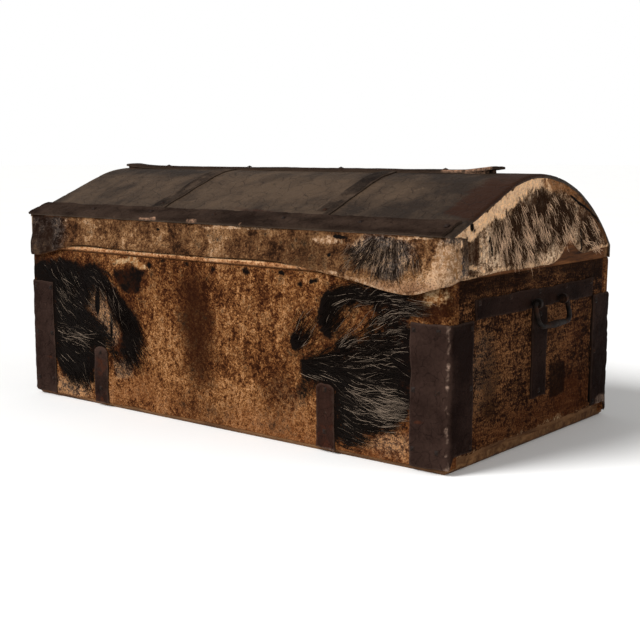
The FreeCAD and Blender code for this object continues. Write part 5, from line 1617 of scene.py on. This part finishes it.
@dataclass
class LidTop:
    """Leather over the lid: the cover, the knee band, two straps and the ridge strip."""

    half_x: float = 420.0
    half_y: float = 231.0
    fold: float = 4.0
    seams: tuple = (-156.0, -83.6, 55.0, 118.0)
    ridge_y: float = -5.0
    curl: float = 6.0
    curl_run: float = 85.0
    curl_left: float = -335.0
    curl_right: float = 269.0
    arch: float = 0.0012
    band_at: tuple = (-423.0, -234.5)
    band_size: tuple = (835.0, 42.0)
    strap_run: tuple = (-193.0, 171.0)
    strap_width: float = 30.0
    strip_at: tuple = (-408.0, 387.0)
    strip_size: tuple = (762.0, 36.0)
    layer_z: float = 382.9
    layer_size: tuple = (80.0, 31.0)

    def build(self, finishes: Finishes) -> None:
        """Every piece on the lid's top."""
        self.cover(finishes)
        self.knee_band(finishes)
        for name, x in (("left", -152.0), ("right", 178.0)):
            self.strap(name, x, finishes)
        self.ridge(finishes)
        self.torn_layer(End.LEFT, -404.0, 0.1, finishes)
        self.torn_layer(End.RIGHT, 262.0, 0.85, finishes)

    def turned_edge(self, y: Array, z: Array, sign: int) -> Array:
        """How far the cover turns down over an end: little at the knee, more over the ridge and the back."""
        down = np.interp(y, [-231, -205, -140, -70, -20, 60, 140, 231], [1, 1, 1.2, 1.5, 3, 2, 3, 3])
        down = np.where(z < 262, 3.0, down)
        return np.maximum(down + 1.6 * drift(y, z, 24, 602 + sign, 4), 0.8)

    def cover(self, finishes: Finishes) -> None:
        """Cover: the lid's outline carried along, rounded over the end edges and turned down the ends."""
        step = 4.0
        p, n = LidLine(2.0).run(-self.half_y, self.half_y, step, wall=True)
        flat = self.half_x - self.fold
        turn = np.linspace(0, math.pi / 2, 6)[1:]
        core = steps(-flat, flat, step)
        fall = np.linspace(0, 1, 6)[1:]
        x_end = np.concatenate([flat + self.fold * np.sin(turn) * 1.3, np.full(len(fall), self.half_x + 1.2)])
        x = np.concatenate([-x_end[::-1], core, x_end])
        bent = np.concatenate([self.fold * (1 - np.cos(turn)), np.full(len(fall), self.fold)])
        sink = np.concatenate([bent[::-1], np.zeros(len(core)), bent])
        share = np.concatenate([np.zeros(len(turn)), fall])
        right = np.concatenate([np.zeros(len(core) + len(share)), share])
        left = right[::-1]
        edge_left, edge_right = (self.turned_edge(p[:, 0], p[:, 1], end.value)[:, None] for end in End)
        depth = sink + edge_left * left + edge_right * right
        surface = np.stack([
            np.broadcast_to(x, depth.shape), p[:, :1] - n[:, :1] * depth, p[:, 1:] - n[:, 1:] * depth,
        ], -1)
        w, x = grid(step * np.arange(len(p)), x)
        y = np.broadcast_to(p[:, :1], w.shape)
        joints = greatest(*(stroke(y, 0 * y, (k, -1), (k, 1), 3.0) for k in self.seams))
        rise = 0.35 * drift(x * 0.35, w, 60, 610) - 0.3 + 0.2 * drift(x, w, 14, 611, 3) - 0.5 * joints
        red = 1.7 * ease(340, 405, x) * ease(-200, -150, y) * ease(30, -20, y) + 0.3 * drift(x, w, 120, 612)
        light = 0.4 * spot(x, y, (40, -120), (240, 60), 0.9) + 0.45 * drift(x * 0.4, w, 70, 613, 5)
        light = light + 0.35 * drift(x, w * 0.25, 16, 615, 4) - 0.35 * ease(190, 330, x)
        pale = np.where(np.abs(x) > self.half_x, ease(0.4, 1.0, left + right), 0.0)
        marks = {
            "red": np.maximum(red, 0.8 * spot(x, y, (62, -186), (80, 7), 0.8, -6)),
            "light": light + 0.8 * stroke(x, y, (276, -110), (290, -96), 1.8),
            "pale": 0.25 * pale * ease(-20, -60, y),
            "cut": 0.3 * joints * ease(0.1, 0.5, drift(x, w, 60, 614)),
        }
        piece = sheet("worn_lid_cover", surface, rise, 1.7, marks, 0.3)
        settle(piece, Body.LID, Stuff.LEATHER, finishes.cover, "lid_top_cover")

    def knee_band(self, finishes: Finishes) -> None:
        """Band on the knee: a thick strip on the slope, both long edges frayed, its left end cut askew."""
        line, (x0, y0), (length, width) = LidLine(6.8), self.band_at, self.band_size
        a, c = ragged(length, width, 3.0, 5.0, 620)
        x = x0 + a
        across = c + width / 2
        x = x + 7.0 * ease(-395, x0, x) * across / width
        y = y0 + across * math.cos(line.slope)
        surface = np.stack([x, y, line.height(y)], -1)
        rise = 1.0 * drift(a, c, 34, 621) + 0.8 * drift(a * 0.4, c, 8, 622, 3)
        rise = rise - 1.5 * creases(a * 0.3, c, 14, 623)
        frayed = ease(-13, -20, c + 6 * drift(a * 0.4, c, 14, 629))
        marks = {
            "light": 1.1 * drift(a * 0.4, c, 22, 624, 5) - 0.25 * ease(-15, -21, c),
            "red": 0.5 * drift(a, c, 60, 625) - 0.1,
            "pale": 0.95 * frayed * ease(0.08, 0.3, wander(a, 60, 626)),
            "cut": 0.55 * creases(a * 0.25, c, 12, 627) * ease(0.0, 0.25, drift(a * 0.5, c, 50, 628)),
        }
        piece = sheet("worn_knee_band", surface, rise, 4.6, marks, 1.4)
        settle(piece, Body.LID, Stuff.LEATHER, finishes.band, "knee_band")

    def strap(self, name: str, x0: float, finishes: Finishes) -> None:
        """Strap across the lid: the lid's outline carried over a narrow strip, its grain peeled in places."""
        step = 3.0
        p, _ = LidLine(4.4).run(*self.strap_run, step)
        run = step * np.arange(len(p))
        a, c = ragged(run[-1], self.strap_width, step, 3.4, 640 + int(x0))
        a = np.clip(a, 0, run[-1])
        surface = np.stack([x0 + c, np.interp(a, run, p[:, 0]), np.interp(a, run, p[:, 1])], -1)
        peel = ease(0.04, 0.2, drift(a * 0.6, c, 17, 641 + int(x0), 5))
        rise = -1.1 * peel + 0.4 * drift(a, c, 10, 642, 3)
        marks = {"light": 0.6 * peel - 0.15, "red": 0.3 * drift(a, c, 40, 643)}
        node = "lid_strap_" + name
        piece = sheet("worn_" + node, surface, rise, 2.2, marks, 1.0)
        settle(piece, Body.LID, Stuff.LEATHER, finishes.lid_strap, node)

    def lifted(self, past: Array) -> Array:
        """How far the ridge strip curls up, by the square of the distance past the start of the curl."""
        return self.curl * (np.clip(past, 0, self.curl_run) / self.curl_run) ** 2

    def ridge(self, finishes: Finishes) -> None:
        """Strip along the ridge: nearly flat, with ends that curl up."""
        x0, z0 = self.strip_at
        a, c = ragged(*self.strip_size, 3.0, 3.4, 660)
        x = x0 + a
        lift = self.lifted(self.curl_left - x) + self.lifted(x - self.curl_right)
        z = z0 + lift - self.arch * c * c + 0.6 * drift(a, c, 60, 661)
        surface = np.stack([x, self.ridge_y + c, z], -1)
        marks = {
            "light": 0.3 * drift(a, c, 40, 662), "red": 0.3 * drift(a, c, 70, 663),
            "pale": 0.75 * ease(258, 280, x) * ease(-11, -17, c),
        }
        piece = sheet("worn_ridge_strip", surface, 0.3 * drift(a, c, 12, 664), 4.6, marks, 1.2)
        settle(piece, Body.LID, Stuff.LEATHER, finishes.band, "ridge_strip")

    def torn_layer(self, end: End, x0: float, torn: float, finishes: Finishes) -> None:
        """Torn leather left under an end of the strip: a wedge that fills the curl."""
        a, c = ragged(*self.layer_size, 2.0, 4.0, 670)
        x = x0 + a
        lift = self.lifted(self.curl_left - x if end is End.LEFT else x - self.curl_right)
        surface = np.stack([x, self.ridge_y + c, self.layer_z + lift - self.arch * c * c], -1)
        flakes = drift(a, c, 8, 671, 4)
        marks = {
            "light": 0.8 * flakes, "red": 0.7 + flakes, "pale": torn + 1.2 * flakes,
            "cut": 0.6 * creases(a * 0.4, c, 8, 672),
        }
        piece = sheet("ridge_torn_layer_" + end.label, surface, 0.4 * flakes, 5.8, marks, 0.4)
        settle(piece, Body.LID, Stuff.LEATHER, finishes.band)


@dataclass
class LidBead:
    """Half-round bead along the foot of the lid's front, fatter towards the right."""

    half_x: float = 418.0
    back_y: float = -229.0
    middle_z: float = 255.0
    half_height: float = 4.4

    def build(self, finishes: Finishes) -> None:
        """The bead: half an ellipse carried along the trunk, its top painted lighter as a highlight and
        rubbed pale unevenly, its underside painted darker as shade.
        """
        x, a = grid(steps(-self.half_x, self.half_x, 3.0), np.radians(np.linspace(-88, 88, 11)))
        proud = 4.4 + 0.5 * ease(-200, 150, x) + 0.35 * wander(x, 40, 701)
        wave = 0.5 * wander(x, 120, 702, 3, row=5)
        y = self.back_y - proud * np.cos(a)
        z = self.middle_z + wave * np.cos(a) + self.half_height * np.sin(a)
        up = np.degrees(a)
        marks = {
            # Painted shade on the underside, and a painted highlight along the top that is also worn pale.
            "stain_and_shade": 0.9 * ease(-5, 50, -up) + 0.3 * drift(x, a * 6, 50, 703),
            "light": 0.55 * ease(-10, 40, up) + 0.25 * wander(x, 30, 704), "red": np.full_like(x, 0.5),
            "pale": 0.9 * ease(5, 35, up) * (0.6 + drift(x, a, 45, 705)),
        }
        piece = sheet("worn_lid_bead", np.stack([x, y, z], -1), 0.0, 0.6, marks, 0.0)
        settle(piece, Body.LID, Stuff.HIDE, finishes.bead, "lid_lip")


@dataclass
class Bails:
    """Two swinging bails of hammered round iron that thicken towards the middle of the grip."""

    pivot_x: float = 431.4
    pivot_y: float = 17.5
    pivot_z: float = 204.0
    tilt: float = 14.0
    arm: float = 47.0
    drop: float = 33.0
    rod: float = 3.6
    grip: float = 5.4
    stub: float = 33.0
    top_bend: float = 6.0
    low_bend: float = 13.0

    def line(self) -> tuple[Array, Array]:
        """Path of one bail in its own plane: stub, bend, arm, bend, half the grip, and the same mirrored."""
        def bend(cy: float, cd: float, r: float, a0: float) -> tuple[Array, Array]:
            """Quarter round about a centre."""
            a = np.radians(np.linspace(a0, a0 + 90, 9))
            return cy + r * np.cos(a), cd + r * np.sin(a)

        top = bend(self.arm - self.top_bend, self.top_bend, self.top_bend, -90)
        low = bend(self.arm - self.low_bend, self.drop - self.low_bend, self.low_bend, 0)
        start = steps(self.stub, self.arm - self.top_bend, 2)[:-1]
        arm = np.linspace(self.top_bend + 1, self.drop - self.low_bend - 1, 7)
        half = steps(self.arm - self.low_bend - 1, 0, 2)
        y = np.concatenate([start, top[0], np.full(len(arm), self.arm), low[0], half])
        d = np.concatenate([np.zeros(len(start)), top[1], arm, low[1], np.full(len(half), self.drop)])
        return np.concatenate([y, -y[-2::-1]]), np.concatenate([d, d[-2::-1]])

    def build(self, finishes: Finishes) -> None:
        """Each bail: a ring of points, dented a little, carried along the path."""
        y, d = self.line()
        lean = math.radians(self.tilt)
        on_grip = ease(self.arm - self.low_bend, 0, np.abs(y)) * (d > self.drop - 0.5)
        swell = self.rod + (self.grip - self.rod) * on_grip
        turn = np.linspace(0, 2 * math.pi, 15)[:-1]
        t = unit(np.gradient(np.stack([y, d], -1), axis=0))
        s = np.cumsum(np.hypot(np.gradient(y), np.gradient(d)))
        radius = swell[:, None] * (1 + 0.06 * drift(s[:, None], 9 * np.cos(turn) + 30, 9, 801, 2))
        in_plane, off_plane = radius * np.cos(turn), radius * np.sin(turn)
        ry = y[:, None] + t[:, 1:] * in_plane
        rd = d[:, None] - t[:, :1] * in_plane
        for end, body in ((End.LEFT, Body.LEFT_BAIL), (End.RIGHT, Body.RIGHT_BAIL)):
            x = end.value * (self.pivot_x + rd * math.sin(lean) + off_plane * math.cos(lean))
            z = self.pivot_z - rd * math.cos(lean) + off_plane * math.sin(lean)
            rings = np.stack([x, self.pivot_y + ry, z], -1)
            if end is End.LEFT:
                rings = rings[:, ::-1]
            node = end.label + "_handle_bail"
            settle(tubes("forged_" + node, rings[None], {}), body, Stuff.IRON, finishes.iron, node)


@dataclass
class Carcass:
    """Woodwork and ironwork whose CAD shapes stay as they are."""

    along: tuple = ("front_board", "back_board", "lid_front_rail", "lid_back_rail")
    across: tuple = ("left_end_board", "right_end_board")
    domed: tuple = ("lid_left_end", "lid_right_end")

    def build(self, finishes: Finishes) -> None:
        """Finishes of the boards, planks, nails, hinges and staples."""
        names = list(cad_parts)
        planks = [n for n in names if n.startswith("lid_plank_") and n[-1].isdigit()]
        bottom = [n for n in names if n.startswith("bottom_board_")]
        iron = [n for n in names if n.endswith(("_staples", "_leaf", "_pin"))]
        nails = [n for n in names if n.endswith("_nails")]
        long = [*self.along, *planks, *bottom]
        coat(finishes.long_wood, *long)
        coat(finishes.cross_wood, *self.across)
        coat(finishes.lid_wood, *self.domed)
        coat(finishes.iron, *iron)
        coat(finishes.nails, *nails)
        wooden = len(long) + len(self.across) + len(self.domed)
        log.info("carcass: %d wooden and %d iron nodes", wooden, len(iron) + len(nails))


@dataclass
class Studio:
    """Pale floor, soft lights and a camera that stands where the photograph was taken."""

    camera_at: tuple = (1.1927, -1.4455, 0.4166)
    yaw: float = -38.93
    pitch: float = -8.45
    lens: float = 64.75
    sensor: float = 36.0
    aim: tuple = (0.0, 0.0, 0.2)
    surround: Colour = (1.0, 0.985, 0.965)
    surround_power: float = 0.34
    key_ahead: tuple = (0.42, 0.78, -0.68)
    key_power: float = 4.3
    key_angle: float = 28.0
    side_at: tuple = (2.9, 0.3, 1.7)
    side_power: float = 25.0
    side_size: float = 1.2

    def build(self) -> None:
        """The whole studio."""
        self.floor()
        self.world()
        sun = self.light("key", "SUN", self.key_power, self.key_ahead)
        sun.data.angle = math.radians(self.key_angle)
        side = self.light("side", "AREA", self.side_power, Vector(self.aim) - Vector(self.side_at))
        side.data.size = self.side_size
        side.location = self.side_at
        self.camera()
        view = bpy.context.scene.view_settings
        view.view_transform = "Standard"
        view.look = "None"

    def floor(self) -> None:
        """Round floor: rings of points out from the middle, level with the trunk's foot."""
        r, a = grid([20.0, 1000.0, 4000.0, 12000.0, 30000.0], np.linspace(0, 2 * math.pi, 49)[:-1])
        points = np.stack([r * np.cos(a), r * np.sin(a), np.full_like(r, -0.3)], -1)
        at = np.arange(r.size).reshape(r.shape)
        at = np.concatenate([at, at[:, :1]], axis=1)
        faces = quads(at).tolist() + [at[0, :-1].tolist()]
        floor = mesh_piece("floor", points.reshape(-1, 3), faces, {})
        floor.data.materials.append(FloorFinish("pale_floor").material())

    def world(self) -> None:
        """Soft white surround, brighter where the camera looks past the trunk."""
        world = bpy.data.worlds.new("studio")
        bpy.context.scene.world = world
        world.use_nodes = True
        g = Graph(world.node_tree)
        soft = g.add("Background", {"Color": self.surround, "Strength": self.surround_power})
        seen = g.add("Background", {"Color": (1.0, 1.0, 1.0), "Strength": 1.0})
        pick = g.add("MixShader", {0: g.add("LightPath", {}, "Is Camera Ray"), 1: soft, 2: seen})
        g.node("OutputWorld", {"Surface": pick})

    def light(self, name: str, kind: str, power: float, ahead: tuple) -> bpy.types.Object:
        """Soft light of one kind that shines along a direction."""
        data = bpy.data.lights.new(name, kind)
        data.energy = power
        return self.aimed(bpy.data.objects.new(name, data), ahead)

    def aimed(self, item: bpy.types.Object, ahead: tuple) -> bpy.types.Object:
        """A lamp or camera turned along a direction and put in the scene."""
        item.rotation_euler = Vector(ahead).to_track_quat("-Z", "Y").to_euler()
        bpy.context.scene.collection.objects.link(item)
        return item

    def camera(self) -> None:
        """Camera from its place, its two angles and its lens."""
        yaw, pitch = math.radians(self.yaw), math.radians(self.pitch)
        ahead = (math.sin(yaw) * math.cos(pitch), math.cos(yaw) * math.cos(pitch), math.sin(pitch))
        data = bpy.data.cameras.new("camera")
        data.lens = self.lens
        data.sensor_width = self.sensor
        camera = self.aimed(bpy.data.objects.new("camera", data), ahead)
        camera.location = self.camera_at
        bpy.context.scene.camera = camera


def main() -> None:
    """Builds every piece in order."""
    logging.basicConfig(level=logging.INFO, format="%(name)s: %(message)s")
    finishes = Finishes()
    hair = FrontHair()
    Carcass().build(finishes)
    CaseHides().build(finishes, hair)
    for part in (hair, CaseStraps(), LidBead(), LidFlap(), LidEnds(), LidTop(), Bails()):
        part.build(finishes)
    Studio().build()


if __name__ == "__main__":
    main()
